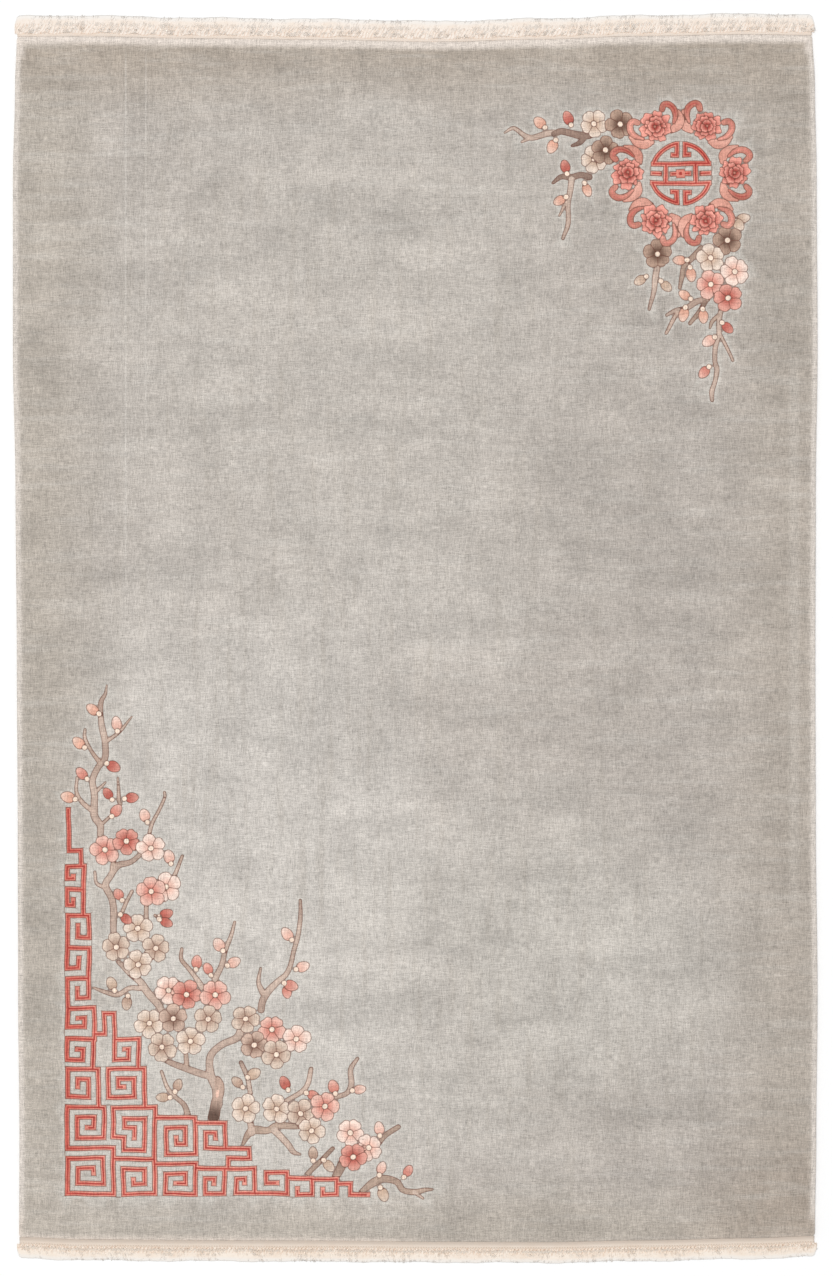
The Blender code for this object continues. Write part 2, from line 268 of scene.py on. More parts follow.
# Key fret.  Columns: left, right, bottom and top of a spiral's middle line, the side that it starts on,
# whether it turns clockwise, where on that side it starts, how many strokes it has
KEYS = (
    (11.9, 15.6, 82.4, 85.2, "right", False, 80.0, 5),
    (11.9, 15.6, 76.5, 80.0, "right", False, 74.1, 5),
    (11.9, 16.8, 69.1, 74.1, "left", True, 66.6, 5),
    (11.9, 16.8, 62.1, 66.6, "right", False, 59.7, 5),
    (11.9, 16.8, 55.3, 59.7, "left", True, 52.9, 5),
    (11.9, 18.0, 48.6, 52.9, "right", False, 45.9, 6),
    (11.9, 17.8, 41.2, 45.9, "right", False, 39.1, 7),
    (22.6, 28.1, 41.2, 45.9, "right", False, 39.1, 7),
    (11.9, 19.0, 32.7, 39.1, "right", False, 30.3, 7),
    (21.3, 29.5, 32.7, 39.1, "right", False, 30.3, 8),
    (11.9, 20.2, 23.3, 30.3, "left", True, 21.0, 9),
    (11.9, 22.4, 10.6, 21.0, "top", True, 11.9, 10),
    (24.7, 31.8, 10.6, 18.6, "top", True, 22.4, 8),
    (34.5, 41.1, 19.6, 27.9, "top", True, 31.8, 8),
    (34.2, 41.1, 10.6, 17.4, "top", True, 31.8, 7),
    (43.4, 47.9, 21.0, 26.8, "top", True, 41.1, 6),
    (43.4, 47.7, 10.7, 16.4, "top", True, 41.1, 6),
    (50.4, 54.5, 10.7, 16.4, "top", True, 47.7, 6),
    (57.2, 62.0, 10.7, 15.4, "bottom", False, 54.5, 5),
    (64.3, 67.6, 10.5, 14.2, "top", True, 62.0, 4),
    (70.0, 73.3, 10.4, 14.0, "top", True, 67.6, 4),
)
# Steps of the fret that aren't spirals, as the corners that each goes through
KEY_STEPS = (
    ((12.2, 98.2), (12.2, 88.9), (14.9, 88.9), (14.9, 85.2)),
    ((18.0, 47.1), (20.3, 47.1), (20.3, 51.7), (22.6, 51.7), (22.6, 45.9)),
    ((31.8, 18.6), (31.8, 30.3), (22.3, 30.3), (22.3, 23.5), (24.8, 23.5), (24.8, 20.6), (29.5, 20.6),
     (29.5, 27.8), (24.8, 27.8), (24.8, 25.8), (27.1, 25.8), (27.1, 23.4)),
    ((47.9, 21.0), (53.4, 21.0), (53.4, 18.8), (48.5, 18.8), (48.5, 16.4)),
    ((73.3, 12.8), (76.5, 12.8), (76.5, 10.4), (80.5, 10.4)),
)
KEY_BAR = 1.16              # width of a bar, centimetres
KEY_LINE = 0.38             # width of the dark line along its middle
KEY_LINE_SHORT = 4.0        # how far short of the bar's last turn it stops, millimetres
KEY_PITCH = 2.3             # from one turn of a spiral to the next

# Roundel, centimetres, with its places measured from its middle
ROUNDEL_CENTRE = (151.8, 243.3)
ROUNDEL_RADIUS = 7.3
CROSSBAR = (6.4, 2.2)       # half length, height above the middle
POST_ACROSS = 3.4           # the posts that join the two crossbars
UPRIGHT_ACROSS = 0.95       # the uprights that split each half-moon in two
HOOK = (2.4, 4.2)           # how far out an upright's foot turns, height of that foot
MOON = (0.9, 2.3)           # where the half-moons' arcs end: across at the top, height at the sides
SIDE_BAR = (4.3, 7.0)       # inner and outer end of the bar at each side
STUD_BAR = 1.9              # half length of the bar in the middle
STUD = (1.0, 0.35)          # half width of the stud on it, and of the dark square on that

# Wreath round the roundel, centimetres
WREATH_RADIUS = 12.2
WREATH_TURNS = (0, 62, 118, 180, 242, 298)
PEONY_RADIUS = 3.5
PEONY_HEART = 3.2           # radius of the disc in a peony's middle, millimetres
# Rounds of a peony's petals, the largest first.  Columns: share of its radius, petals, steps in half a petal
PEONY_ROUNDS = ((1.0, 7, 7), (0.70, 5, 6), (0.42, 3, 5))
# Beside each peony, on both sides.  Columns: outwards and sideways from the peony's middle, width
SCROLL_ROUTE = (
    (-1.2, 3.9, 0.7), (0.2, 5.1, 1.3), (1.8, 5.5, 1.5), (3.1, 4.9, 1.5), (3.4, 3.9, 1.5), (2.7, 3.1, 1.4),
)
LOBE_ROUTE = ((-2.6, 2.6, 1.4), (-2.3, 4.2, 2.3), (-1.2, 5.5, 1.9), (0.6, 6.2, 0.8))
SCROLL_STEP = 5.0           # steps along scrolls and lobes, millimetres
VEIN_SHARE = 0.24           # width of the deeper vein along a scroll, as a share of the scroll's

# Blossoms and buds, millimetres
HALF_PETAL = math.radians(36.0)
PETAL_RADIUS = 15.3
PETAL_OUT = 18.7            # from the blossom's middle to a petal's
PISTIL_RADIUS = 6.6
BUD_HALF_LENGTH = 15.5
BUD_HALF_WIDTH = 11.5
CALYX_RADIUS = 6.4
CALYX_OUT = 17.5            # from the bud's middle back to its calyx


def srgb(red, green, blue):
    """Linear colour for one given as 0 to 255 on screen."""
    return tuple((c / 255.0 / 12.92) if c < 10.3 else ((c / 255.0 + 0.055) / 1.055) ** 2.4
                 for c in (red, green, blue))


def mix(one, other, share):
    """Part of the way from one tuple of numbers to another."""
    return tuple(a + (b - a) * share for a, b in zip(one, other))


def ease(value, low, high):
    """0 below low, 1 above high and smooth between."""
    share = min(max((value - low) / (high - low), 0.0), 1.0)
    return share * share * (3.0 - 2.0 * share)


def smooth_row(table, share, column):
    """Read one column of a table at a share of the way, eased between its rows."""
    share = min(max(share, 0.0), 1.0)
    for low, high in zip(table, table[1:]):
        if share <= high[0]:
            return low[column] + (high[column] - low[column]) * ease(share, low[0], high[0])
    return table[-1][column]


def bowed(across, along):
    """Where a point of the true rectangle lies on the carpet as laid."""
    side = across / CARPET_WIDTH + 0.5
    end = along / PILE_LENGTH + 0.5
    left = -smooth_row(SELVEDGE_BOW, end, 1)
    right = smooth_row(SELVEDGE_BOW, end, 2)
    bottom = -smooth_row(END_BOW, side, 1)
    top = smooth_row(END_BOW, side, 2)
    return (across + left + (right - left) * side, along + bottom + (top - bottom) * end)


def pile_ring(inset, step=18.0, corner_steps=5):
    """The pile's outline, drawn in by an inset, with the same number of points at every inset."""
    radius = max(CORNER_RADIUS - inset, 2.0)
    across = 0.5 * CARPET_WIDTH - inset - radius
    along = 0.5 * PILE_LENGTH - inset - radius
    ring = []
    for quarter, (side, end) in enumerate(((1, -1), (1, 1), (-1, 1), (-1, -1))):
        for corner in range(corner_steps + 1):
            angle = math.radians(90.0 * (quarter - 1 + corner / corner_steps))
            ring.append((side * across + radius * math.cos(angle), end * along + radius * math.sin(angle)))
        upright = quarter in (0, 2)
        steps = math.ceil((PILE_LENGTH if upright else CARPET_WIDTH) / step)
        for place in range(1, steps):
            share = 2.0 * place / steps - 1.0
            if upright:
                ring.append((side * (across + radius), side * share * along))
            else:
                ring.append((-end * share * across, end * (along + radius)))
    return [bowed(x, y) for x, y in ring]


def shift(axis):
    """How far the middle of the CAD pile lies from the middle of the layout, along an axis."""
    low, high = (corner[axis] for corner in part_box("pile_rug"))
    places = [point[axis] for point in pile_ring(0.0)]
    return 500.0 * (low + high) - 0.5 * (min(places) + max(places))


SHIFT_X = shift(0)
SHIFT_Y = shift(1)


def in_frame(x, y, z):
    """Millimetres of the layout as metres of the frame."""
    return ((x + SHIFT_X) / 1000.0, (y + SHIFT_Y) / 1000.0, z / 1000.0)


def spot(across, along):
    """A place in centimetres from the pile's lower left corner, as millimetres from its middle."""
    return (10.0 * across - 0.5 * CARPET_WIDTH, 10.0 * along - 0.5 * PILE_LENGTH)


def uneven(x, y):
    """Where a point of the drawn pattern comes out when it is knotted by hand."""
    return (x + 1.0 * math.sin(y / 29.0 + 2.0 * math.sin(x / 61.0)) + 0.5 * math.sin(y / 11.0 + x / 23.0),
            y + 1.0 * math.sin(x / 33.0 + 2.0 * math.sin(y / 57.0)) + 0.5 * math.sin(x / 12.0 - y / 19.0))


def uneven_outline(outline, step=24.0):
    """An outline with its long edges broken up and all its points set where they are knotted."""
    points = []
    for start, end in zip(outline, outline[1:] + outline[:1]):
        count = max(1, math.ceil(math.dist(start, end) / step))
        points += [uneven(*mix(start, end, place / count)) for place in range(count)]
    return points


class Pattern:
    """Everything that is knotted into the field, in the order in which it is laid, later over earlier."""

    def __init__(self):
        self.polygons = []      # (outline, shape)
        self.islands = [0]      # the island that each shape belongs to; shape 0 is the field
        self.colours = [None]   # each shape's colour as a function of place
        self.ridges = []        # points that stay at full pile although the shape is narrow
        self.last_island = 0

    def island(self):
        """Start a part that is cut free of everything round it."""
        self.last_island += 1
        return self.last_island

    def shape(self, colour, island):
        """Start a shape of one colour."""
        self.islands.append(island)
        self.colours.append(colour)
        return len(self.islands) - 1

    def polygon(self, outline, shape):
        """Add an outline to a shape, turned anticlockwise and set where it is knotted."""
        outline = uneven_outline(outline)
        area = sum(a[0] * b[1] - b[0] * a[1] for a, b in zip(outline, outline[1:] + outline[:1]))
        if abs(area) > 0.4:
            self.polygons.append((outline if area > 0 else list(reversed(outline)), shape))


pattern = Pattern()


def fading(tone, centre, near, far):
    """Colour that goes from a tone's heart to its rim with the distance from a centre."""
    heart, rim = [srgb(*colour) for colour in TONES[tone]]

    def colour(x, y):
        return mix(heart, rim, ease(math.hypot(x - centre[0], y - centre[1]), near, far))
    return colour


def mottled(tone, size=26.0):
    """Colour that drifts between a tone's heart and its rim."""
    heart, rim = [srgb(*colour) for colour in TONES[tone]]

    def colour(x, y):
        wave = math.sin(x / size + 1.7 * math.sin(y / size)) + math.sin(y / (0.7 * size) + 0.6)
        return mix(heart, rim, 0.5 + 0.25 * wave)
    return colour


def circle(centre, radius, count, turn=0.0):
    """Points round a circle."""
    return [(centre[0] + radius * math.cos(turn + math.tau * step / count),
             centre[1] + radius * math.sin(turn + math.tau * step / count)) for step in range(count)]


def add_disc(centre, radius, tone, count=10):
    """A small round part of its own."""
    shape = pattern.shape(fading(tone, centre, 0.4 * radius, radius), pattern.island())
    pattern.polygon(circle(centre, radius, count), shape)
    pattern.ridges.append(centre)


def add_blossom(across, along, tone, turn, rng):
    """Five round petals cut apart along their rays, with a disc in the middle."""
    centre = spot(across, along)
    size = rng.uniform(0.96, 1.06)
    ray = size * (PETAL_OUT * math.cos(HALF_PETAL)
                  + math.sqrt(PETAL_RADIUS ** 2 - (PETAL_OUT * math.sin(HALF_PETAL)) ** 2))
    for petal in range(5):
        axis = math.radians(turn + 72.0 * petal)
        reach = rng.uniform(-0.05, 0.05)
        dent = rng.uniform(0.0, 0.11)
        edge = [(ray * math.cos(axis + side * HALF_PETAL), ray * math.sin(axis + side * HALF_PETAL))
                for side in (-1, 1)]
        middle = (size * PETAL_OUT * math.cos(axis), size * PETAL_OUT * math.sin(axis))
        start = math.atan2(edge[0][1] - middle[1], edge[0][0] - middle[0])
        sweep = (math.atan2(edge[1][1] - middle[1], edge[1][0] - middle[0]) - start) % math.tau
        outline = [(0.0, 0.0)] + [(edge[0][0] * share, edge[0][1] * share) for share in (0.3, 0.53, 0.76)]
        for step in range(11):
            angle = start + sweep * step / 10
            notch = dent * math.exp(-((step - 5) / 1.3) ** 2)
            stretch = 1.0 + reach * math.sin(math.pi * step / 10) - notch
            outline.append((stretch * (middle[0] + size * PETAL_RADIUS * math.cos(angle)),
                            stretch * (middle[1] + size * PETAL_RADIUS * math.sin(angle))))
        outline += [(edge[1][0] * share, edge[1][1] * share) for share in (0.76, 0.53, 0.3)]
        outline = [(centre[0] + x, centre[1] + y) for x, y in outline]
        shape = pattern.shape(fading(tone, centre, 7.0, 31.0), pattern.island())
        pattern.polygon(outline, shape)
        pattern.ridges.append((centre[0] + 0.62 * middle[0], centre[1] + 0.62 * middle[1]))
    add_disc(centre, PISTIL_RADIUS, "pistil")


def add_bud(across, along, tone, turn, rng):
    """An egg-shaped bud with a small round calyx at its foot."""
    centre = spot(across, along)
    axis = math.radians(turn)
    size = rng.uniform(0.92, 1.08)
    outline = []
    for step in range(18):
        angle = math.tau * step / 18
        out = size * BUD_HALF_LENGTH * math.cos(angle)
        aside = size * BUD_HALF_WIDTH * math.sin(angle) * (1.0 - 0.14 * math.cos(angle))
        outline.append((centre[0] + out * math.cos(axis) - aside * math.sin(axis),
                        centre[1] + out * math.sin(axis) + aside * math.cos(axis)))
    foot = (centre[0] - CALYX_OUT * math.cos(axis), centre[1] - CALYX_OUT * math.sin(axis))
    shape = pattern.shape(fading(tone, foot, 10.0, 40.0), pattern.island())
    pattern.polygon(outline, shape)
    pattern.ridges.append(centre)
    add_disc(foot, CALYX_RADIUS, "pistil")


def smooth_route(rows, step):
    """Points about every step along a smooth curve through rows of x, y and width."""
    points = [Vector(row) for row in rows]
    points = [2.0 * points[0] - points[1]] + points + [2.0 * points[-1] - points[-2]]
    route = []
    for before, first, last, after in zip(points, points[1:], points[2:], points[3:]):
        count = max(2, math.ceil((last.xy - first.xy).length / step))
        for place in range(count):
            t = place / count
            route.append(0.5 * (2.0 * first + (last - before) * t
                                + (2.0 * before - 5.0 * first + 4.0 * last - after) * t * t
                                + (3.0 * first - before - 3.0 * last + after) * t ** 3))
    route.append(points[-2])
    return route


def is_convex(outline):
    """True if a quad's corners all turn the same way."""
    turns = []
    for place in range(len(outline)):
        a, b, c = (outline[(place + step) % len(outline)] for step in range(3))
        turns.append((b[0] - a[0]) * (c[1] - b[1]) - (b[1] - a[1]) * (c[0] - b[0]))
    return min(turns) > 0.0 or max(turns) < 0.0


def add_ribbon(rows, shape, step=6.0, ridge=True, share=1.0):
    """A band of changing width along a smooth route, with round ends."""
    route = smooth_route(rows, step)
    left = []
    right = []
    for place, point in enumerate(route):
        ahead = route[min(place + 1, len(route) - 1)].xy - route[max(place - 1, 0)].xy
        aside = Vector((-ahead.y, ahead.x)).normalized() * (0.5 * share * point.z)
        left.append(tuple(point.xy + aside))
        right.append(tuple(point.xy - aside))
    for place in range(len(route) - 1):
        quad = [left[place], right[place], right[place + 1], left[place + 1]]
        if is_convex([uneven(*corner) for corner in quad]):
            pattern.polygon(quad, shape)
    for end in (route[0], route[-1]):
        pattern.polygon(circle(end.xy, 0.5 * share * end.z, 8), shape)
    if ridge:
        pattern.ridges += [tuple(point.xy) for point in route]


def add_branch(tone, rows, island):
    """A twig or stem through its points."""
    foot = spot(*rows[0][:2])
    shape = pattern.shape(fading(tone, foot, 6.0, 52.0) if tone == "trunk" else mottled(tone), island)
    add_ribbon([(*spot(across, along), 10.0 * width) for across, along, width in rows], shape)


def rectangle(x0, y0, x1, y1):
    """Corners of an upright rectangle from any two opposite ones."""
    return [(min(x0, x1), min(y0, y1)), (max(x0, x1), min(y0, y1)),
            (max(x0, x1), max(y0, y1)), (min(x0, x1), max(y0, y1))]


def add_key_line(corners, bar, line):
    """A bar that turns at square corners, with a thinner line of another colour along its middle.

    The thin line stops short of the bar's last end.
    """
    places = [spot(*corner) for corner in corners]
    for half, shape, short in ((5.0 * KEY_BAR, bar, 0.0), (5.0 * KEY_LINE, line, KEY_LINE_SHORT)):
        for number, ((x0, y0), (x1, y1)) in enumerate(zip(places, places[1:])):
            on = half - short if short and number == len(places) - 2 else half
            if abs(x1 - x0) < 0.01:
                way = math.copysign(1.0, y1 - y0)
                pattern.polygon(rectangle(x0 - half, y0 - way * half, x1 + half, y1 + way * on), shape)
            else:
                way = math.copysign(1.0, x1 - x0)
                pattern.polygon(rectangle(x0 - way * half, y0 - half, x1 + way * on, y1 + half), shape)


def key_spiral(left, right, bottom, top, side, clockwise, start, strokes):
    """Corners of a square spiral that starts on one side of its box and winds in."""
    limits = {"left": left, "right": right, "bottom": bottom, "top": top}
    inward = {"left": KEY_PITCH, "right": -KEY_PITCH, "bottom": KEY_PITCH, "top": -KEY_PITCH}
    order = ["right", "bottom", "left", "top"] if clockwise else ["right", "top", "left", "bottom"]
    place = order.index(side)
    upright = side in ("left", "right")
    corners = [(limits[side], start) if upright else (start, limits[side])]
    for stroke in range(strokes):
        here = order[(place + stroke) % 4]
        following = order[(place + stroke + 1) % 4]
        x, y = corners[-1]
        if here in ("left", "right"):
            corner = (x, limits[following])
        else:
            corner = (limits[following], y)
        if math.dist(corner, (x, y)) > 0.35:
            corners.append(corner)
        limits[here] += inward[here]
    return corners


def add_key_fret():
    """The stepped corner of square spirals."""
    light = srgb(*TONES["fret"][1])
    deep = srgb(*TONES["fret"][0])

    def bar_colour(x, y):
        across = 0.1 * (x + 0.5 * CARPET_WIDTH)
        wave = 0.5 + 0.5 * math.sin(0.035 * x + 0.9 * math.sin(0.02 * y)) * math.sin(0.027 * y + 1.0)
        return mix(deep, light, 0.25 * wave + 0.75 * ease(across, 11.0, 20.0))

    island = pattern.island()
    bar = pattern.shape(bar_colour, island)
    line = pattern.shape(mottled("fret line"), island)
    routes = [key_spiral(*key) for key in KEYS] + list(KEY_STEPS)
    for route in routes:
        add_key_line(route, bar, line)
    pattern.polygons.sort(key=lambda item: item[1])


def add_roundel():
    """A round of plain fretwork: two split half-moons on crossbars, with a bar and stud between."""
    island = pattern.island()
    bar = pattern.shape(mottled("fret"), island)
    line = pattern.shape(mottled("fret line"), island)
    middle_x, middle_y = ROUNDEL_CENTRE

    def block(x0, y0, x1, y1, shape):
        near = spot(middle_x + x0, middle_y + y0)
        far = spot(middle_x + x1, middle_y + y1)
        pattern.polygon(rectangle(*near, *far), shape)

    centre = spot(*ROUNDEL_CENTRE)
    half = 0.5 * KEY_BAR
    thin = 0.5 * KEY_LINE
    radius = ROUNDEL_RADIUS - half
    first = math.asin(MOON[1] / radius)
    last = math.acos(MOON[0] / radius)
    arc = [first + (last - first) * step / 14 for step in range(15)]
    reach, foot = HOOK
    ends, rise = CROSSBAR
    for width, shape in ((half, bar), (thin, line)):
        for up in (1, -1):
            for side in (1, -1):
                for low, high in zip(arc, arc[1:]):
                    corners = []
                    for angle, out in ((low, -width), (low, width), (high, width), (high, -width)):
                        corners.append((centre[0] + side * 10.0 * (radius + out) * math.cos(angle),
                                        centre[1] + up * 10.0 * (radius + out) * math.sin(angle)))
                    pattern.polygon(corners, shape)
                block(side * (UPRIGHT_ACROSS - width), up * (foot - width), side * (UPRIGHT_ACROSS + width),
                      up * (radius - 0.1 + width), shape)
                block(side * (UPRIGHT_ACROSS - width), up * (foot - width), side * (reach + width - half),
                      up * (foot + width), shape)
                block(side * (POST_ACROSS - width), 0.0, side * (POST_ACROSS + width), up * rise, shape)
            block(-ends - width, up * (rise - width), ends + width, up * (rise + width), shape)
        for side in (1, -1):
            block(side * SIDE_BAR[0], -width, side * (SIDE_BAR[1] - half + width), width, shape)
        block(-STUD_BAR - width, -width, STUD_BAR + width, width, shape)
    for size, shape in zip(STUD, (bar, line)):
        block(-size, -size, size, size, shape)


def add_peony(centre, turn, rng):
    """A ruffled bloom in three rounds of uneven petals, each round over the last."""
    for number, (size, petals, steps) in enumerate(PEONY_ROUNDS):
        radius = 10.0 * PEONY_RADIUS * size
        heart = (centre[0] + rng.uniform(-1.6, 1.6) * number, centre[1] + rng.uniform(-1.6, 1.6) * number)
        cuts = [turn + math.tau * (petal + rng.uniform(-0.28, 0.28)) / petals for petal in range(petals)]
        cuts.append(cuts[0] + math.tau)
        for low, high in zip(cuts, cuts[1:]):
            grow = radius * rng.uniform(0.92, 1.13)
            lean = rng.uniform(-0.3, 0.3)
            outline = [heart]
            for step in range(2 * steps + 1):
                share = step / (2 * steps)
                angle = low + (high - low) * share
                ruffle = 1.0 + 0.06 * math.sin(12.0 * angle + 2.0 * number)
                bulge = math.sin(math.pi * share ** (1.0 + lean)) ** 0.55
                out = ruffle * (0.80 * radius + (grow - 0.80 * radius) * bulge)
                outline.append((heart[0] + out * math.cos(angle), heart[1] + out * math.sin(angle)))
            shape = pattern.shape(fading("peony", heart, 0.45 * radius, 1.02 * radius), pattern.island())
            pattern.polygon(outline, shape)
            middle = 0.5 * (low + high)
            pattern.ridges.append((heart[0] + 0.75 * radius * math.cos(middle),
                                   heart[1] + 0.75 * radius * math.sin(middle)))
    add_disc(heart, PEONY_HEART, "scroll", 8)


def add_wreath(rng):
    """Six peonies round the roundel, each between two scrolls, on pale lobes."""
    middle = spot(*ROUNDEL_CENTRE)

    def place_at(turn, out, aside):
        """A place outwards and sideways from the middle of the peony at a turn, centimetres."""
        return (middle[0] + 10.0 * ((WREATH_RADIUS + out) * math.cos(turn) - aside * math.sin(turn)),
                middle[1] + 10.0 * ((WREATH_RADIUS + out) * math.sin(turn) + aside * math.cos(turn)))

    turns = [math.radians(turn) for turn in WREATH_TURNS]
    sides = [(turn, side) for turn in turns for side in (1, -1)]
    for turn, side in sides:
        lobe = pattern.shape(mottled("lobe"), pattern.island())
        rows = [(*place_at(turn, out, side * aside), 10.0 * width) for out, aside, width in LOBE_ROUTE]
        add_ribbon(rows, lobe, SCROLL_STEP)
    for turn, side in sides:
        island = pattern.island()
        rows = [(*place_at(turn, out, side * aside), 10.0 * width) for out, aside, width in SCROLL_ROUTE]
        add_ribbon(rows, pattern.shape(mottled("scroll"), island), SCROLL_STEP, False)
        add_ribbon(rows[:-1], pattern.shape(mottled("peony"), island), SCROLL_STEP, False, VEIN_SHARE)
    for turn in turns:
        add_peony(place_at(turn, 0.0, 0.0), turn, rng)


def add_all():
    """Lay the whole pattern, the lowest layer first."""
    rng = random.Random(5)
    wood = pattern.island()
    for tone, rows in BRANCHES:
        add_branch(tone, rows, wood)
    add_key_fret()
    for row in BUDS:
        add_bud(*row, rng)
    for row in BLOSSOMS:
        add_blossom(*row, rng)
    for row in BUDS_ABOVE:
        add_bud(*row, rng)
    add_roundel()
    add_wreath(rng)


def holds(outline, x, y):
    """True if a point lies inside an outline."""
    inside = False
    for (x0, y0), (x1, y1) in zip(outline, outline[1:] + outline[:1]):
        if (y0 > y) != (y1 > y) and x < x0 + (x1 - x0) * (y - y0) / (y1 - y0):
            inside = not inside
    return inside


def middle_of(triangle, verts):
    """The middle of a triangle, seen from above."""
    return (sum(verts[v].x for v in triangle) / 3.0, sum(verts[v].y for v in triangle) / 3.0)


def cut_pattern(boundary):
    """Overlay the outlines.  Gives the points, triangles and the shape that shows in each triangle."""
    points = list(boundary)
    faces = [list(range(len(boundary)))]
    owners = [0]
    for outline, shape in pattern.polygons:
        faces.append(list(range(len(points), len(points) + len(outline))))
        points += outline
        owners.append(shape)
    verts, _, triangles, _, _, inside = delaunay_2d_cdt(
        [Vector(p) for p in points], [], faces, 1, MERGE, True)
    kept = []
    shows = []
    for triangle, ids in zip(triangles, inside):
        if ids:
            place = middle_of(triangle, verts)
            within = [one for one in ids if one and holds(pattern.polygons[one - 1][0], *place)]
            kept.append(triangle)
            shows.append(owners[max(within, default=0)])
    return [tuple(v) for v in verts], kept, shows


def visible_cuts(triangles, shows):
    """Edges between two shapes, with the depth of the cut there: 0 where only the colour changes."""
    beside = {}
    for triangle, shape in zip(triangles, shows):
        for a, b in zip(triangle, triangle[1:] + triangle[:1]):
            beside.setdefault((min(a, b), max(a, b)), []).append(shape)
    cuts = []
    for edge, shapes in beside.items():
        if len(shapes) == 2 and shapes[0] != shapes[1]:
            islands = [pattern.islands[shape] for shape in shapes]
            if islands[0] == islands[1]:
                cuts.append((edge, 0.0))
            else:
                cuts.append((edge, GROOVE_AT_FIELD if 0 in islands else GROOVE_IN_MOTIF))
    return cuts


class Spread:
    """Points kept at least some distance from one another and from the cuts."""

    def __init__(self, cell):
        self.cell = cell
        self.cells = {}
        self.points = []

    def add(self, point, gap):
        cx, cy = int(point[0] // self.cell), int(point[1] // self.cell)
        reach = math.ceil(gap / self.cell)
        for ix in range(cx - reach, cx + reach + 1):
            for iy in range(cy - reach, cy + reach + 1):
                for other in self.cells.get((ix, iy), ()):
                    if math.dist(point, other) < gap:
                        return
        self.cells.setdefault((cx, cy), []).append(point)
        self.points.append(point)


def trace_cuts(boundary, verts, triangles, shows):
    """The outline and every visible cut in short steps.

    Gives the points, the depth of the cut at each, the edges that join them, places close together along
    the cuts, and the edges that have pile to carve beside them.
    """
    points = list(boundary)
    depth = [0.0] * len(points)
    edges = [(place, (place + 1) % len(boundary)) for place in range(len(boundary))]
    number = {}
    samples = []
    sides = []

    def point_for(vertex):
        if vertex not in number:
            number[vertex] = len(points)
            points.append(verts[vertex])
            depth.append(0.0)
        return number[vertex]

    for (a, b), cut in visible_cuts(triangles, shows):
        first, last = point_for(a), point_for(b)
        start, end = points[first], points[last]
        length = math.dist(start, end)
        count = max(1, math.ceil(length / CUT_STEP))
        chain = [first]
        for step in range(1, count):
            chain.append(len(points))
            points.append(mix(start, end, step / count))
            depth.append(0.0)
        chain.append(last)
        for one, other in zip(chain, chain[1:]):
            edges.append((one, other))
            samples += [points[one], mix(points[one], points[other], 0.5)]
            if cut:
                depth[one] = max(depth[one], cut)
                depth[other] = max(depth[other], cut)
                if length > SHORTEST_CARVED:
                    sides.append((points[one], points[other]))
        samples.append(points[last])
    return points, depth, edges, samples, sides


def beside(sides, reach):
    """Points on both sides of the middle of each edge, at a distance from it."""
    for (x0, y0), (x1, y1) in sides:
        length = math.dist((x0, y0), (x1, y1))
        aside_x = -(y1 - y0) / length * reach
        aside_y = (x1 - x0) / length * reach
        for way in (1, -1):
            yield (0.5 * (x0 + x1) + way * aside_x, 0.5 * (y0 + y1) + way * aside_y)


def field_points():
    """Staggered rows of points over the whole field."""
    half_x = 0.5 * CARPET_WIDTH - FIELD_MARGIN
    half_y = 0.5 * PILE_LENGTH - FIELD_MARGIN
    rows = int(2.0 * half_y / FIELD_STEP)
    columns = int(2.0 * half_x / FIELD_STEP)
    for row in range(rows + 1):
        for column in range(columns + 1):
            x = -half_x + 2.0 * half_x * (column + 0.5 * (row % 2)) / columns
            if x < half_x:
                yield (x, -half_y + 2.0 * half_y * row / rows)


def carved_top(boundary):
    """Points of the top with their cut depth and the triangles with their shapes."""
    verts, triangles, shows = cut_pattern(boundary)
    finder = BVHTree.FromPolygons([(x, y, 0.0) for x, y in verts], triangles)
    points, depth, edges, samples, sides = trace_cuts(boundary, verts, triangles, shows)
    tree = kdtree.KDTree(len(samples))
    for place, (x, y) in enumerate(samples):
        tree.insert((x, y, 0.0), place)
    tree.balance()

    def away(point):
        return tree.find((point[0], point[1], 0.0))[2]

    spread = Spread(3.0)
    # Columns: places, least distance from a cut, least distance from one another
    for places, clear, gap in (((uneven(*ridge) for ridge in pattern.ridges), 1.2, 2.4),
                               (beside(sides, GROOVE_REACH), 2.3, 2.5),
                               (beside(sides, HALO_REACH), 7.5, 6.0),
                               (field_points(), 12.0, 10.0)):
        for place in places:
            if away(place) > clear:
                spread.add(place, gap)
    points += spread.points
    depth += [0.0] * len(spread.points)

    verts, _, triangles, origins, _, inside = delaunay_2d_cdt(
        [Vector(p) for p in points], edges, [list(range(len(boundary)))], 1, MERGE, True)
    triangles = [triangle for triangle, ids in zip(triangles, inside) if ids]
    depths = [max((depth[one] for one in origin), default=0.0) for origin in origins]
    found = [shows[finder.find_nearest((*middle_of(triangle, verts), 0.0))[2]] for triangle in triangles]
    # Share of painted light on the field near a motif
    halo = [1.0 - ease(away(v), 2.0, HALO_REACH) for v in verts]
    rim = [0] * len(boundary)
    for vertex, origin in enumerate(origins):
        for one in origin:
            if one < len(boundary):
                rim[one] = vertex
    return [tuple(v) for v in verts], depths, halo, triangles, found, rim


def smooth_object(name, points, faces, **attributes):
    """An object with a smooth mesh, and named lists that hold a number for each of its points."""
    mesh = bpy.data.meshes.new(name)
    mesh.from_pydata(points, [], faces)
    for label, values in attributes.items():
        mesh.attributes.new(label, "FLOAT", "POINT").data.foreach_set("value", values)
    mesh.polygons.foreach_set("use_smooth", [True] * len(faces))
    return bpy.data.objects.new(name, mesh)


def put_in_scene(piece, material):
    """Give a piece its material and link it."""
    piece.data.materials.append(material)
    bpy.context.scene.collection.objects.link(piece)
    return piece


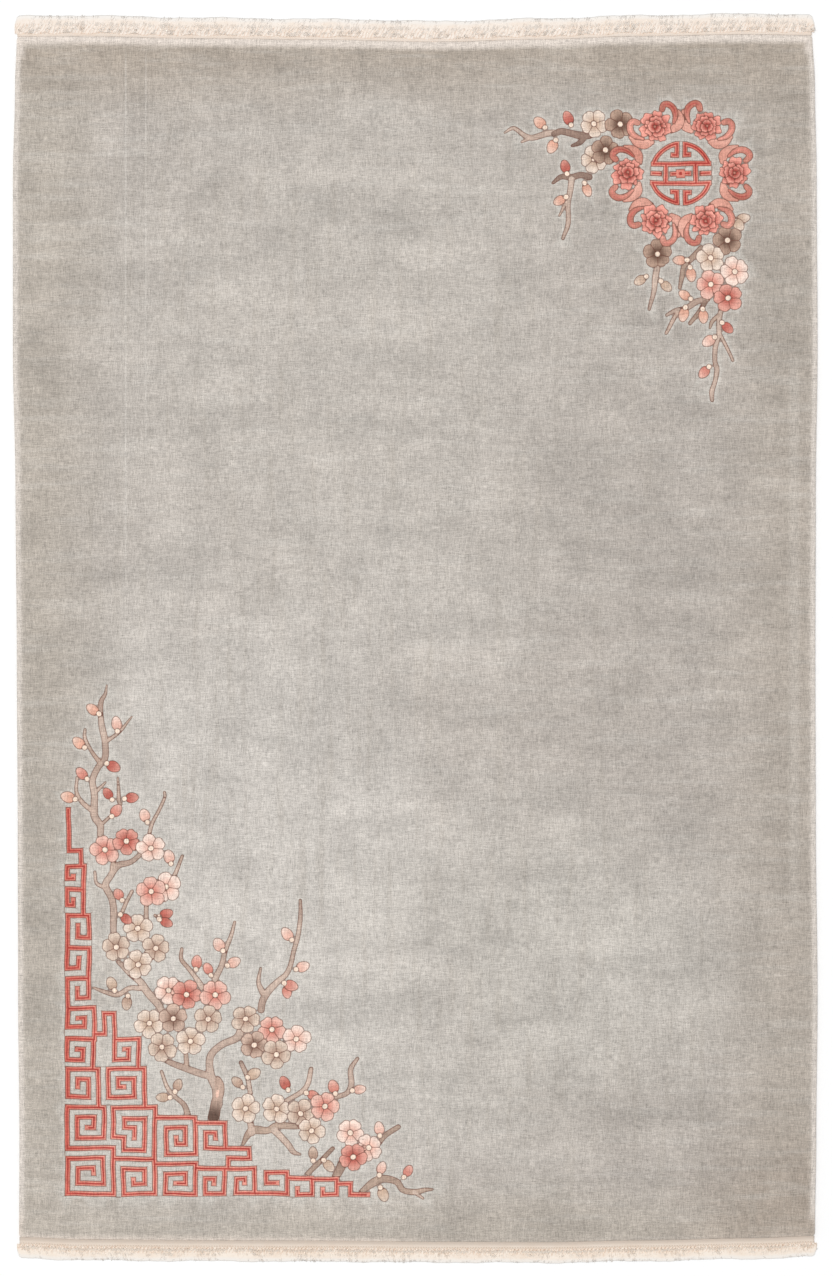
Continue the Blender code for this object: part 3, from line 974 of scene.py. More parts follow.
def make_pile(material):
    """The whole pile as one closed mesh: carved top, rounded flank and flat underside."""
    add_all()
    verts, depths, near, triangles, shapes, rim = carved_top(pile_ring(PILE_BORDER))
    places = [in_frame(x, y, PILE_HEIGHT - cut) for (x, y), cut in zip(verts, depths)]
    carve = [cut / GROOVE_AT_FIELD if cut >= GROOVE_AT_FIELD else 0.9 * cut / GROOVE_IN_MOTIF
             for cut in depths]
    # How much painted light pales each point of the flank
    flank = [0.0] * len(places)
    rise = PILE_HEIGHT - PILE_WALL
    upper = rim
    faces = [tuple(t) for t in triangles]
    kinds = list(shapes)
    for inset, height, at_side, at_top, at_bottom in PILE_EDGE:
        lower = []
        for x, y in pile_ring(inset):
            lower.append(len(places))
            places.append(in_frame(x, y, PILE_WALL + height * rise))
            at_end = at_top if y > 0.0 else at_bottom
            flank.append(at_end if abs(y) > 0.5 * PILE_LENGTH - END_ZONE else at_side)
            near.append(0.0)
            carve.append(0.0)
        for place in range(len(lower)):
            after = (place + 1) % len(lower)
            faces.append((lower[place], lower[after], upper[after], upper[place]))
            kinds.append(0)
        upper = lower
    faces.append(tuple(reversed(upper)))
    kinds.append(0)

    piece = smooth_object("carved_pile", places, faces, cut=carve, flank=flank, near=near)
    mesh = piece.data
    mesh.polygons[-1].use_smooth = False
    dye = []
    knotted = []
    for polygon, shape in zip(mesh.polygons, kinds):
        colour = pattern.colours[shape]
        for vertex in polygon.vertices:
            if colour is None:
                dye += (0.5, 0.45, 0.4, 1.0)
                knotted.append(0.0)
            else:
                dye += (*colour(*verts[vertex]), 1.0)
                knotted.append(1.0)
    mesh.attributes.new("dye", "FLOAT_COLOR", "CORNER").data.foreach_set("color", dye)
    mesh.attributes.new("motif", "FLOAT", "CORNER").data.foreach_set("value", knotted)
    return put_in_scene(piece, material)


class Nodes:
    """Short calls for building a node tree."""

    def __init__(self, tree):
        self.tree = tree

    def add(self, kind, settings=None, **values):
        """A node with its settings, and its inputs set or linked, by name or by number as in i0."""
        node = self.tree.nodes.new(kind)
        for name, value in (settings or {}).items():
            setattr(node, name, value)
        for name, value in values.items():
            numbered = name[0] == "i" and name[1:].isdigit()
            self.feed(node.inputs[int(name[1:]) if numbered else name], value)
        return node

    def feed(self, socket, value):
        """Link an input to another node, or set it."""
        if isinstance(value, bpy.types.NodeSocket):
            self.tree.links.new(value, socket)
        else:
            socket.default_value = value

    def math(self, operation, *values):
        """The result of a math node."""
        numbered = {"i%d" % place: value for place, value in enumerate(values)}
        return self.add("ShaderNodeMath", {"operation": operation}, **numbered).outputs[0]

    def product(self, one, *others):
        """Values multiplied together, one after another."""
        for other in others:
            one = self.math("MULTIPLY", one, other)
        return one

    def sway(self, value, strength, base):
        """A base moved up or down by how far a noise lies from its middle."""
        return self.math("MULTIPLY_ADD", self.math("SUBTRACT", value, 0.5), strength, base)

    def ramp(self, value, low, high, to_low=0.0, to_high=1.0):
        """A soft step between two values."""
        node = self.add("ShaderNodeMapRange", {"interpolation_type": "SMOOTHSTEP"},
                        i0=value, i1=low, i2=high, i3=to_low, i4=to_high)
        return node.outputs[0]

    def blend(self, share, one, other):
        """A share of the way from one colour to another."""
        one, other = (colour if isinstance(colour, bpy.types.NodeSocket) else (*colour, 1.0)
                      for colour in (one, other))
        return self.add("ShaderNodeMix", {"data_type": "RGBA"}, i0=share, i6=one, i7=other).outputs[2]

    def shade(self, colour, tint):
        """A colour made deeper or paler."""
        return self.add("ShaderNodeVectorMath", {"operation": "SCALE"}, i0=colour, Scale=tint).outputs[0]

    def noise(self, vector, scale, stretch=(1.0, 1.0, 1.0), detail=2.0, roughness=0.5):
        """Soft noise, stretched by the inverse of each number."""
        mapped = self.add("ShaderNodeMapping", Vector=vector, Scale=stretch)
        node = self.add("ShaderNodeTexNoise", Vector=mapped.outputs[0], Scale=scale, Detail=detail,
                        Roughness=roughness)
        return node.outputs["Fac"]

    def attribute(self, name, output="Fac"):
        """What the mesh says under a name."""
        return self.add("ShaderNodeAttribute", {"attribute_name": name}).outputs[output]

    def parts(self, vector):
        """The three numbers of a vector."""
        return self.add("ShaderNodeSeparateXYZ", i0=vector).outputs

    def group(self, tree, **values):
        """The outputs of a node group."""
        return self.add("ShaderNodeGroup", {"node_tree": tree}, **values).outputs


class Surface(Nodes):
    """The nodes of a new matte material."""

    def __init__(self, name, roughness, specular):
        self.material = bpy.data.materials.new(name)
        self.material.use_nodes = True
        super().__init__(self.material.node_tree)
        self.shader = self.tree.nodes["Principled BSDF"]
        self.shader.inputs["Roughness"].default_value = roughness
        self.shader.inputs["Specular IOR Level"].default_value = specular
        self.place = self.add("ShaderNodeTexCoord").outputs["Object"]

    def finish(self, colour, height, strength, distance):
        """Feed the shader its colour and its bump.  Gives the material."""
        bump = self.add("ShaderNodeBump", Strength=strength, Distance=distance, Height=height)
        self.feed(self.shader.inputs["Base Color"], colour)
        self.feed(self.shader.inputs["Normal"], bump.outputs[0])
        return self.material


def new_group(name, inputs, outputs):
    """A shader node group with named sockets.  Gives its node maker, its inputs and its outputs."""
    tree = bpy.data.node_groups.new(name, "ShaderNodeTree")
    for direction, sockets in (("INPUT", inputs), ("OUTPUT", outputs)):
        for label, kind in sockets:
            tree.interface.new_socket(label, in_out=direction, socket_type="NodeSocket" + kind)
    given = tree.nodes.new("NodeGroupInput").outputs
    wanted = tree.nodes.new("NodeGroupOutput").inputs
    return Nodes(tree), given, wanted


# Painted light: pale lines along the field where the folded pile parts and catches the light, metres from
# the middle of the carpet.
# Columns: place across, half width, lower end, upper end, strength
PARTED_LINES = (
    (-0.660, 0.0019, 0.30, 1.30, 0.30),
    (-0.614, 0.0019, 0.55, 1.30, 0.22),
    (0.864, 0.0110, -0.45, 0.60, 0.15),
)


def make_field_group():
    """Colour of the plain field: soft clouds of tone under painted light and shade from the lie of the pile,
    paler at the lower left and deeper towards the edges and ends, and a border painted paler as the pile's
    lit flank.
    """
    make, given, wanted = new_group("field_wool", (("Place", "Vector"), ("Flank", "Float")),
                                    (("Colour", "Color"),))
    place = given["Place"]
    x, y, _ = make.parts(place)
    wander = make.noise(place, 2.4, detail=3.0)
    bend = make.product(make.math("SUBTRACT", wander, 0.5), 1.1)

    def bent(value, strength):
        """A place across the carpet, moved by the wandering edge of the clouds."""
        return make.math("ADD", value, make.product(bend, strength))

    def patch(across, along, wide, tall):
        """A soft oval cloud."""
        moved = make.add("ShaderNodeVectorMath", {"operation": "SUBTRACT"},
                         i0=place, i1=(across, along, 0.0))
        scaled = make.add("ShaderNodeVectorMath", {"operation": "MULTIPLY"}, i0=moved.outputs[0],
                          i1=(1.0 / wide, 1.0 / tall, 0.0))
        length = make.add("ShaderNodeVectorMath", {"operation": "LENGTH"}, i0=scaled.outputs[0])
        return make.ramp(make.math("ADD", length.outputs["Value"], bend), 0.25, 1.35, 1.0, 0.0)

    # Painted light and shade from the lie of the pile: upper middle, lower left, right, patch at the lower
    # right, right edge, left edge, ends, last corner
    colour = make.blend(patch(-0.18, 0.60, 0.75, 0.95), srgb(187, 179, 171), srgb(195, 188, 180))
    colour = make.blend(patch(-0.36, -0.66, 0.60, 0.85), colour, srgb(206, 200, 193))
    dusk = make.ramp(bent(x, 0.3), 0.10, 0.55)
    colour = make.blend(make.product(dusk, 0.75), colour, srgb(183, 175, 167))
    colour = make.blend(patch(0.34, -0.76, 0.45, 0.42), colour, srgb(198, 192, 184))
    right = make.ramp(bent(x, 0.1), 0.62, 0.88, 0.0, 0.8)
    colour = make.blend(right, colour, srgb(179, 169, 158))
    left = make.ramp(bent(x, 0.22), -0.64, -0.88, 0.0, 0.9)
    colour = make.blend(left, colour, srgb(184, 175, 164))
    up = make.math("MULTIPLY_ADD", bend, 0.12, y)
    colour = make.blend(make.ramp(up, 1.16, 1.36, 0.0, 0.9), colour, srgb(178, 166, 153))
    colour = make.blend(make.ramp(up, -1.20, -1.37, 0.0, 0.9), colour, srgb(187, 178, 167))
    corner = make.product(patch(0.92, -1.40, 0.34, 0.34), 0.7)
    colour = make.blend(corner, colour, srgb(166, 152, 139))
    clouds = make.noise(place, 7.5, (1.0, 1.2, 1.0), 6.0, 0.72)
    bands = make.noise(place, 3.4, (0.55, 2.6, 1.0), 2.0, 0.6)
    mottle = make.sway(bands, 0.34, make.sway(clouds, 0.68, 0.98))
    rows = make.noise(place, 9.0, (0.6, 5.0, 1.0), 3.0, 0.6)
    columns = make.noise(place, 9.0, (5.0, 0.5, 1.0), 3.0, 0.6)
    colour = make.blend(make.ramp(rows, 0.45, 0.75, 0.0, 0.32), colour, srgb(207, 202, 195))
    colour = make.blend(make.ramp(columns, 0.48, 0.72, 0.0, 0.32), colour, srgb(176, 168, 158))
    fine_rows = make.noise(place, 16.0, (0.22, 5.0, 1.0), 3.0, 0.6)
    fine_columns = make.noise(place, 16.0, (5.0, 0.22, 1.0), 3.0, 0.6)
    mottle = make.sway(fine_rows, 0.16, mottle)
    combed = make.product(make.math("SUBTRACT", fine_columns, 0.5), make.ramp(y, 0.95, 1.30, 0.13, 0.26))
    colour = make.shade(colour, make.math("ADD", combed, mottle))
    # Painted light along the lines where the pile parts
    for across, half, low, high, strength in PARTED_LINES:
        line = make.ramp(make.math("ABSOLUTE", make.math("SUBTRACT", x, across)), 1.6 * half, 0.4 * half)
        reach = make.product(make.ramp(y, low - 0.30, low), make.ramp(y, high + 0.06, high))
        colour = make.blend(make.product(line, reach, strength), colour, srgb(226, 220, 212))
    # Painted light on the pile's lit flank: a paler border, less pale at the very ends and fading out at the
    # lower right
    border = make.blend(make.ramp(y, -1.30, 1.30), srgb(226, 213, 201), srgb(226, 215, 205))
    outer = make.ramp(make.math("ABSOLUTE", y), 1.28, 1.36)
    border = make.blend(outer, srgb(217, 208, 199), border)
    faded = make.product(make.ramp(x, -0.12, 0.12, 0.0, 0.75), make.ramp(y, -1.30, -1.35))
    pale = make.product(given["Flank"], make.math("SUBTRACT", 1.0, faded))
    make.feed(wanted["Colour"], make.blend(pale, colour, border))
    return make.tree


def make_knot_group():
    """Fine cross-hatch of the knot rows and the nap of the cut pile, as a tint and a height."""
    make, given, wanted = new_group("knot_rows", (("Place", "Vector"), ("Strength", "Float")),
                                    (("Tint", "Float"), ("Height", "Float")))
    place = given["Place"]
    rows = make.noise(place, 60.0, (0.9, 9.5, 1.0), 1.0)
    columns = make.noise(place, 60.0, (9.5, 0.9, 1.0), 1.0)
    nap = make.noise(place, 520.0, (1.0, 1.0, 1.0), 1.0, 0.7)
    height = make.math("MULTIPLY_ADD", nap, 1.2, make.math("ADD", rows, columns))
    centred = make.math("SUBTRACT", height, 1.6)
    tint = make.math("MULTIPLY_ADD", centred, given["Strength"], 1.0)
    make.feed(wanted["Tint"], tint)
    make.feed(wanted["Height"], height)
    return make.tree


def make_twist_group():
    """Ply of cotton yarn: slanting turns with some fluff."""
    make, given, wanted = new_group("cotton_twist", (("Place", "Vector"),),
                                    (("Tint", "Float"), ("Height", "Float")))
    place = given["Place"]
    turned = make.add("ShaderNodeMapping", Vector=place, Rotation=(0.0, 0.0, 0.6))
    wave = make.add("ShaderNodeTexWave", {"wave_type": "BANDS"},
                    Vector=turned.outputs[0], Scale=160.0, Distortion=2.5)
    fluff = make.noise(place, 500.0, detail=3.0)
    height = make.math("MULTIPLY_ADD", fluff, 0.6, wave.outputs["Fac"])
    tint = make.math("MULTIPLY_ADD", height, 0.10, 0.93)
    make.feed(wanted["Tint"], tint)
    make.feed(wanted["Height"], height)
    return make.tree


def wool_material():
    """Matte cut wool: the field's own colour, the motifs' dyes, a dark line in every cut that is partly
    brown outline knots and partly painted shade in the groove, and painted light on the field near each
    motif.
    """
    make = Surface("carved wool", 0.95, 0.12)
    make.shader.inputs["Sheen Weight"].default_value = 0.12
    make.shader.inputs["Sheen Roughness"].default_value = 0.5
    place = make.place
    dye = make.attribute("dye", "Color")
    motif = make.attribute("motif")
    cut = make.attribute("cut")
    flank = make.attribute("flank")
    field = make.group(make_field_group(), Place=place, Flank=flank)
    knots = make.group(make_knot_group(), Place=place, Strength=0.74)
    near = make.attribute("near")
    # Painted light: the field is painted paler near a motif
    ground = make.blend(make.product(near, 0.62), field["Colour"], srgb(213, 208, 200))
    # Dark line in every cut: partly brown outline knots, partly painted shade in the groove
    ground = make.blend(make.ramp(cut, 0.55, 0.98, 0.0, 0.66), ground, srgb(128, 94, 80))
    dyed = make.blend(make.ramp(cut, 0.40, 0.92, 0.0, 0.84), dye, srgb(112, 70, 58))
    colour = make.blend(motif, ground, dyed)
    return make.finish(make.shade(colour, knots["Tint"]), knots["Height"], 0.5, 0.0012)


def cotton(make, place, patches):
    """Cream of the cotton, deeper at the bottom end than at the top."""
    y = make.parts(place)[1]
    top = make.ramp(y, -1.0, 1.0)
    light = make.blend(top, srgb(246, 234, 221), srgb(246, 236, 226))
    deep = make.blend(top, srgb(237, 218, 200), srgb(241, 225, 210))
    return make.blend(make.ramp(patches, 0.35, 0.75, 0.0, 0.7), light, deep)


def yarn_material():
    """Cream cotton yarn, whiter towards its cut ends."""
    make = Surface("cream cotton yarn", 0.92, 0.15)
    place = make.place
    tip = make.attribute("tip")
    twist = make.group(make_twist_group(), Place=place)
    patches = make.noise(place, 34.0, (1.0, 1.0, 1.0), 3.0)
    colour = cotton(make, place, patches)
    colour = make.blend(make.ramp(tip, 0.4, 1.0, 0.0, 0.8), colour, srgb(244, 239, 234))
    return make.finish(make.shade(colour, twist["Tint"]), twist["Height"], 0.15, 0.0004)


def band_material():
    """Flat-woven cotton: fine ribs across, warps along, painted shade in the troughs between the ribs, and a
    row of small stitches near the fringe.
    """
    make = Surface("woven cotton band", 0.92, 0.15)
    place = make.place
    out = make.attribute("beyond")
    run = make.attribute("run")
    rib = make.math("SINE", make.product(out, 4.2))
    warp = make.math("SINE", make.product(run, 3.1))
    height = make.math("MULTIPLY_ADD", warp, 0.4, rib)
    patches = make.noise(place, 30.0, (1.0, 1.0, 1.0), 3.0)
    colour = make.blend(0.25, cotton(make, place, patches), srgb(226, 208, 192))
    y = make.parts(place)[1]
    inner = make.product(make.ramp(out, 15.0, 4.0), make.ramp(y, -1.0, 1.0, 0.9, 0.1))
    colour = make.blend(inner, colour, srgb(212, 198, 185))
    # Painted shade in the troughs between the ribs
    colour = make.blend(make.ramp(height, -1.2, 0.2, 0.16, 0.0), colour, srgb(206, 180, 154))
    beat = make.ramp(make.math("SINE", make.product(run, 1.7)), 0.0, 0.8)
    line = make.ramp(make.math("ABSOLUTE", make.math("SUBTRACT", out, 13.4)), 1.5, 0.6)
    colour = make.blend(make.product(beat, line, 0.7), colour, srgb(150, 122, 98))
    return make.finish(colour, height, 0.25, 0.0004)


def end_line(end, beyond, step=6.0, margin=1.0):
    """Points along one end, a distance beyond the pile, from left to right."""
    half = 0.5 * CARPET_WIDTH - margin
    count = math.ceil(2.0 * half / step)
    line = []
    for place in range(count + 1):
        x, y = bowed(-half + 2.0 * half * place / count, end * 0.5 * PILE_LENGTH)
        line.append((x, y + end * beyond))
    return line


def roll_material():
    """The fringe's dense roll of cotton: close curly yarns with small painted shadows between them, and a
    painted shadow line along its outer edge.
    """
    make = Surface("rolled cotton fringe", 0.95, 0.12)
    place = make.place
    out = make.attribute("beyond")
    curls = make.noise(place, 190.0, (1.0, 0.6, 1.0), 2.0, 0.5)
    patches = make.noise(place, 26.0, (1.0, 1.0, 1.0), 3.0)
    colour = cotton(make, place, patches)
    away = make.ramp(out, 26.0, 42.0, 1.0, 0.1)
    colour = make.blend(make.product(make.ramp(curls, 0.54, 0.70, 0.0, 0.40), away), colour,
                        srgb(204, 172, 146))
    x, y, _ = make.parts(place)
    lean = make.product(make.math("SIGN", y), make.product(out, -0.55))
    step = make.math("MULTIPLY_ADD", x, 1000.0, lean)
    swirl = make.math("MULTIPLY_ADD", curls, 4.0, make.product(patches, 16.0))
    strand = make.math("SINE", make.math("MULTIPLY_ADD", step, 0.75, swirl))
    inner = make.ramp(out, 25.0, 31.0, 1.0, 0.0)
    inner = make.product(inner, make.ramp(y, -1.0, 1.0, 0.52, 0.40))
    # Painted shadows between the slanting strands
    colour = make.blend(make.product(make.ramp(strand, 0.35, 0.95), inner), colour,
                        srgb(206, 168, 140))
    beat = make.ramp(make.math("SINE", make.product(step, 0.75)), 0.45, 0.9)
    stitch = make.ramp(make.math("ABSOLUTE", make.math("SUBTRACT", out, 18.4)), 1.2, 0.5)
    stitch = make.product(stitch, make.ramp(y, 0.5, -0.5, 0.0, 0.7))
    colour = make.blend(make.product(stitch, beat), colour, srgb(150, 124, 104))
    colour = make.blend(make.ramp(out, 34.0, 43.0, 0.0, 0.8), colour, srgb(243, 239, 234))
    # Painted shadow: a thin grey line along the roll's outer edge
    colour = make.blend(make.ramp(out, 44.8, 46.0, 0.0, 0.55), colour, srgb(170, 168, 166))
    return make.finish(colour, curls, 0.25, 0.0008)


# Section of a band.  Columns: distance beyond the pile, height
BAND_SECTION = ((BAND_GAP, 0.0), (BAND_GAP, 6.6), (1.2, 6.1), (2.6, 5.0), (4.6, 3.9), (7.5, 3.2),
                (11.0, 3.0), (14.6, 2.8), (BAND_DEPTH, 2.2), (BAND_DEPTH, 0.0))
# Section of a fringe's roll.  Columns: distance beyond the pile, share of the roll's reach added to that,
# height.  At the top end it lies over the band, at the bottom end it starts outside the band.
ROLL_OVER_BAND = (
    (7.0, 0.0, 3.3), (7.0, 0.0, 4.3), (8.2, 0.0, 5.2), (11.0, 0.0, 5.6), (14.0, 0.0, 5.5),
    (16.5, 0.0, 5.2), (16.5, 0.3, 4.7), (16.5, 0.6, 4.1), (16.5, 0.83, 3.2), (16.5, 0.95, 1.9),
    (16.5, 1.0, 0.9), (16.5, 1.0, 0.0), (16.5, 0.0, 0.0), (16.5, 0.0, 3.0), (12.0, 0.0, 3.1),
)
ROLL_PAST_BAND = (
    (16.1, 0.0, 0.0), (16.1, 0.0, 2.3), (16.1, 0.05, 3.0), (16.1, 0.20, 3.8), (16.1, 0.42, 4.3),
    (16.1, 0.65, 4.2), (16.1, 0.83, 3.3), (16.1, 0.95, 1.9), (16.1, 1.0, 0.9), (16.1, 1.0, 0.0),
)


def section_body(name, end, rows, **attributes):
    """A closed body along one end: one row of points for each corner of its section, and flat ends."""
    count = len(rows[0])
    corners = range(0, len(rows) * count, count)
    faces = []
    for low, high in zip(corners, (*corners[1:], 0)):
        for place in range(count - 1):
            faces.append((low + place, low + place + 1, high + place + 1, high + place))
    faces += [tuple(corners), tuple(first + count - 1 for first in reversed(corners))]
    if end < 0:
        faces = [tuple(reversed(face)) for face in faces]
    return smooth_object(name, [point for row in rows for point in row], faces, **attributes)


def make_roll(name, end, length, section, material):
    """The body of a fringe: its yarns lie so close that they form one soft roll."""
    half = 0.5 * CARPET_WIDTH + 5.0
    count = math.ceil(2.0 * half / 5.0)
    rows = []
    beyond = []
    for start, share, height in section:
        row = []
        for place in range(count + 1):
            across = -half + 2.0 * half * place / count
            x, y = bowed(across, end * 0.5 * PILE_LENGTH)
            corner = min(half - abs(across), 13.0) / 13.0
            rounded = 0.45 + 0.55 * math.sqrt(max(0.0, 1.0 - (1.0 - corner) ** 2))
            wave = (math.sin(across / 37.0 + end) + 0.6 * math.sin(across / 14.0 + 2.0 * end)
                    + 0.3 * math.sin(across / 5.1))
            reach = rounded * (length + 1.1 * wave)
            curl = 2.0 * math.sin(across / 9.0 + 2.5 * math.sin(across / 47.0)) if start < 12.0 else 0.0
            lump = (1.0 + 0.06 * math.sin(across / 6.3 + 4.0 * share)
                    + 0.06 * math.sin(across / 17.0 + 1.0))
            row.append(in_frame(x, y + end * (start + curl + share * reach), height * lump))
            beyond.append(start + share * 30.0)
        rows.append(row)
    return put_in_scene(section_body(name, end, rows, beyond=beyond), material)


def make_band(name, end, material):
    """The flat-woven strip between the pile and the fringe, with softly rounded edges."""
    lines = [end_line(end, beyond, 5.0) for beyond, _ in BAND_SECTION]
    rows = [[in_frame(x, y, height) for x, y in line] for line, (_, height) in zip(lines, BAND_SECTION)]
    beyond = [out for line, (out, _) in zip(lines, BAND_SECTION) for _ in line]
    run = [x for line in lines for x, _ in line]
    return put_in_scene(section_body(name, end, rows, beyond=beyond, run=run), material)


def tube(verts, faces, spine, radii, sides=3):
    """Add a closed tube round a spine to lists of points and faces."""
    base = len(verts)
    for place, centre in enumerate(spine):
        ahead = (spine[min(place + 1, len(spine) - 1)] - spine[max(place - 1, 0)]).normalized()
        across = ahead.cross(Vector((0.0, 0.0, 1.0))).normalized()
        up = across.cross(ahead)
        for side in range(sides):
            angle = math.tau * side / sides + 0.5 * place
            verts.append(centre + radii[place] * (math.cos(angle) * across + math.sin(angle) * up))
    for place in range(len(spine) - 1):
        for side in range(sides):
            after = (side + 1) % sides
            low = base + place * sides
            faces.append((low + side, low + sides + side, low + sides + after, low + after))
    faces.append(tuple(base + side for side in range(sides)))
    faces.append(tuple(base + (len(spine) - 1) * sides + side for side in reversed(range(sides))))


# Loose yarns on a fringe's roll.  The first number is millimetres beyond the pile, the others are metres
Layer = namedtuple("Layer", "name end beyond length bundles seed slant slant_spread "
                            "yarns steps thickness level crinkle spread")
TOP_YARNS = Layer("yarn_top", 1, 9.0, 0.0390, 560, 11, -0.30, 0.35, 3, 10, 0.00115, 0.0042, 0.0009, 0.0034)
BOTTOM_YARNS = Layer("yarn_bottom", -1, 20.5, 0.0280, 440, 23, 0.45, 0.35,
                     3, 10, 0.00115, 0.0035, 0.0009, 0.0034)
TOP_LOCKS = Layer("locks_top", 1, 11.0, 0.0200, 90, 7, -1.05, 0.40, 2, 9, 0.0020, 0.0052, 0.0014, 0.0030)
BUNDLE_KINDS = 10           # bundles that are drawn afresh for each layer
# Numbers of a random value's sockets for its kinds: lower limit, upper limit, result
RANDOM_SOCKETS = {"FLOAT_VECTOR": (0, 1, 0), "FLOAT": (2, 3, 1), "INT": (4, 5, 2)}


def make_bundle(name, rng, layer):
    """A few loosely plied yarns that grow along +Y from the origin."""
    length, crinkle, spread, thickness = layer.length, layer.crinkle, layer.spread, layer.thickness
    verts = []
    faces = []
    for yarn in range(layer.yarns):
        reach = length * rng.uniform(0.93, 1.0)
        phase = rng.uniform(0.0, math.tau)
        waves = rng.uniform(1.8, 2.8)
        start_x = spread * (yarn / max(layer.yarns - 1, 1) - 0.5) + rng.uniform(-0.2, 0.2) * spread
        end_x = start_x + rng.uniform(-0.7, 0.7) * spread
        spine = []
        radii = []
        for step in range(layer.steps + 1):
            share = step / layer.steps
            swing = math.tau * waves * share + phase
            x = start_x + (end_x - start_x) * share + crinkle * math.sin(swing)
            y = reach * share + 0.6 * crinkle * math.cos(swing)
            z = (layer.level - 0.8 * (layer.level - thickness) * share ** 3
                 + 0.5 * crinkle * math.cos(swing))
            spine.append(Vector((x, y, z)))
            uneven_ply = 0.95 + 0.12 * math.sin(5.0 * share + phase)
            radii.append(thickness * uneven_ply * (1.0 - 0.3 * share ** 6))
        tube(verts, faces, spine, radii)
    return smooth_object(name, verts, faces, tip=[v.y / length for v in verts])


def fringe_tree(name):
    """Geometry nodes that set bundles of yarn along a guide line, each turned and stretched a little."""
    tree = bpy.data.node_groups.new(name, "GeometryNodeTree")
    sockets = {}
    for label, kind in (("Guide", "Geometry"), ("Count", "Int"), ("Seed", "Int"), ("Facing", "Float"),
                        ("Slant", "Float"), ("Slant Spread", "Float"), ("Shortest", "Float"),
                        ("Longest", "Float"), ("Bundles", "Collection"), ("Yarn", "Material")):
        sockets[label] = tree.interface.new_socket(label, in_out="INPUT", socket_type="NodeSocket" + kind)
    tree.interface.new_socket("Fringe", in_out="OUTPUT", socket_type="NodeSocketGeometry")
    make = Nodes(tree)
    given = tree.nodes.new("NodeGroupInput").outputs
    seed = given["Seed"]

    def chance(kind, low, high, salt):
        """A random value for each bundle, between two limits."""
        low_input, high_input, output = RANDOM_SOCKETS[kind]
        node = make.add("FunctionNodeRandomValue", {"data_type": kind})
        make.feed(node.inputs[low_input], low)
        make.feed(node.inputs[high_input], high)
        make.feed(node.inputs["Seed"], make.math("ADD", seed, float(salt)))
        return node.outputs[output]

    curve = make.add("GeometryNodeMeshToCurve", Mesh=given["Guide"])
    evenly = make.add("GeometryNodeResampleCurve", Curve=curve.outputs[0], Count=given["Count"])
    jitter = chance("FLOAT_VECTOR", (-0.0016, -0.0012, 0.0), (0.0016, 0.0012, 0.0007), 1)
    placed = make.add("GeometryNodeSetPosition", Geometry=evenly.outputs[0], Offset=jitter)
    low = make.math("SUBTRACT", given["Slant"], given["Slant Spread"])
    high = make.math("ADD", given["Slant"], given["Slant Spread"])
    lean = chance("FLOAT", low, high, 2)
    where = make.add("GeometryNodeInputPosition")
    drift = make.add("ShaderNodeTexNoise", Vector=where.outputs[0], Scale=9.0, Detail=2.0)
    drifted = make.sway(drift.outputs["Fac"], 1.3, lean)
    turn = make.math("ADD", drifted, given["Facing"])
    rotation = make.add("ShaderNodeCombineXYZ", Z=turn)
    length = chance("FLOAT", given["Shortest"], given["Longest"], 3)
    along = make.add("GeometryNodeSplineParameter").outputs["Factor"]
    from_corner = make.math("MINIMUM", along, make.math("SUBTRACT", 1.0, along))
    rounded = make.product(length, make.ramp(from_corner, 0.0, 0.012, 0.62, 1.0))
    size = make.add("ShaderNodeCombineXYZ", X=1.0, Y=rounded, Z=1.0)
    pick = chance("INT", 0, BUNDLE_KINDS - 1, 4)
    shapes = make.add("GeometryNodeCollectionInfo", Collection=given["Bundles"])
    shapes.inputs["Separate Children"].default_value = True
    shapes.inputs["Reset Children"].default_value = True
    laid = make.add("GeometryNodeInstanceOnPoints", Points=placed.outputs[0], Instance=shapes.outputs[0],
                    Rotation=rotation.outputs[0], Scale=size.outputs[0])
    laid.inputs["Pick Instance"].default_value = True
    make.feed(laid.inputs["Instance Index"], pick)
    real = make.add("GeometryNodeRealizeInstances", Geometry=laid.outputs[0])
    painted = make.add("GeometryNodeSetMaterial", Geometry=real.outputs[0], Material=given["Yarn"])
    tree.links.new(painted.outputs[0], tree.nodes.new("NodeGroupOutput").inputs[0])
    return tree, sockets


def make_fringe(layer, tree, sockets, material):
    """One layer of one end's fringe: bundles along a line outside the pile."""
    scene = bpy.context.scene
    rng = random.Random(layer.seed)
    shapes = bpy.data.collections.new(layer.name + "_shapes")
    bundles = [make_bundle("%s_bundle_%d" % (layer.name, number), rng, layer)
               for number in range(BUNDLE_KINDS)]
    for bundle in bundles:
        shapes.objects.link(bundle)
    line = end_line(layer.end, layer.beyond, 8.0, 5.0)
    guide_mesh = bpy.data.meshes.new(layer.name + "_guide")
    guide_mesh.from_pydata([in_frame(x, y, 0.0) for x, y in line],
                           [(place, place + 1) for place in range(len(line) - 1)], [])
    guide = bpy.data.objects.new(layer.name + "_guide", guide_mesh)
    scene.collection.objects.link(guide)
    modifier = guide.modifiers.new("fringe", "NODES")
    modifier.node_group = tree
    values = {"Count": layer.bundles, "Seed": layer.seed, "Facing": 0.0 if layer.end > 0 else math.pi,
              "Slant": layer.slant, "Slant Spread": layer.slant_spread, "Shortest": 0.90, "Longest": 1.05,
              "Bundles": shapes, "Yarn": material}
    for label, value in values.items():
        modifier[sockets[label].identifier] = value
    bpy.context.view_layer.update()
    grown = bpy.data.meshes.new_from_object(guide.evaluated_get(bpy.context.evaluated_depsgraph_get()))
    grown.name = layer.name
    guide.modifiers.remove(modifier)
    bpy.data.objects.remove(guide, do_unlink=True)
    for bundle in bundles:
        bpy.data.objects.remove(bundle, do_unlink=True)
    bpy.data.collections.remove(shapes)
    grown.materials.clear()
    for vertex in grown.vertices:
        vertex.co.z = max(vertex.co.z, 0.0002)
    return put_in_scene(bpy.data.objects.new(layer.name, grown), material)


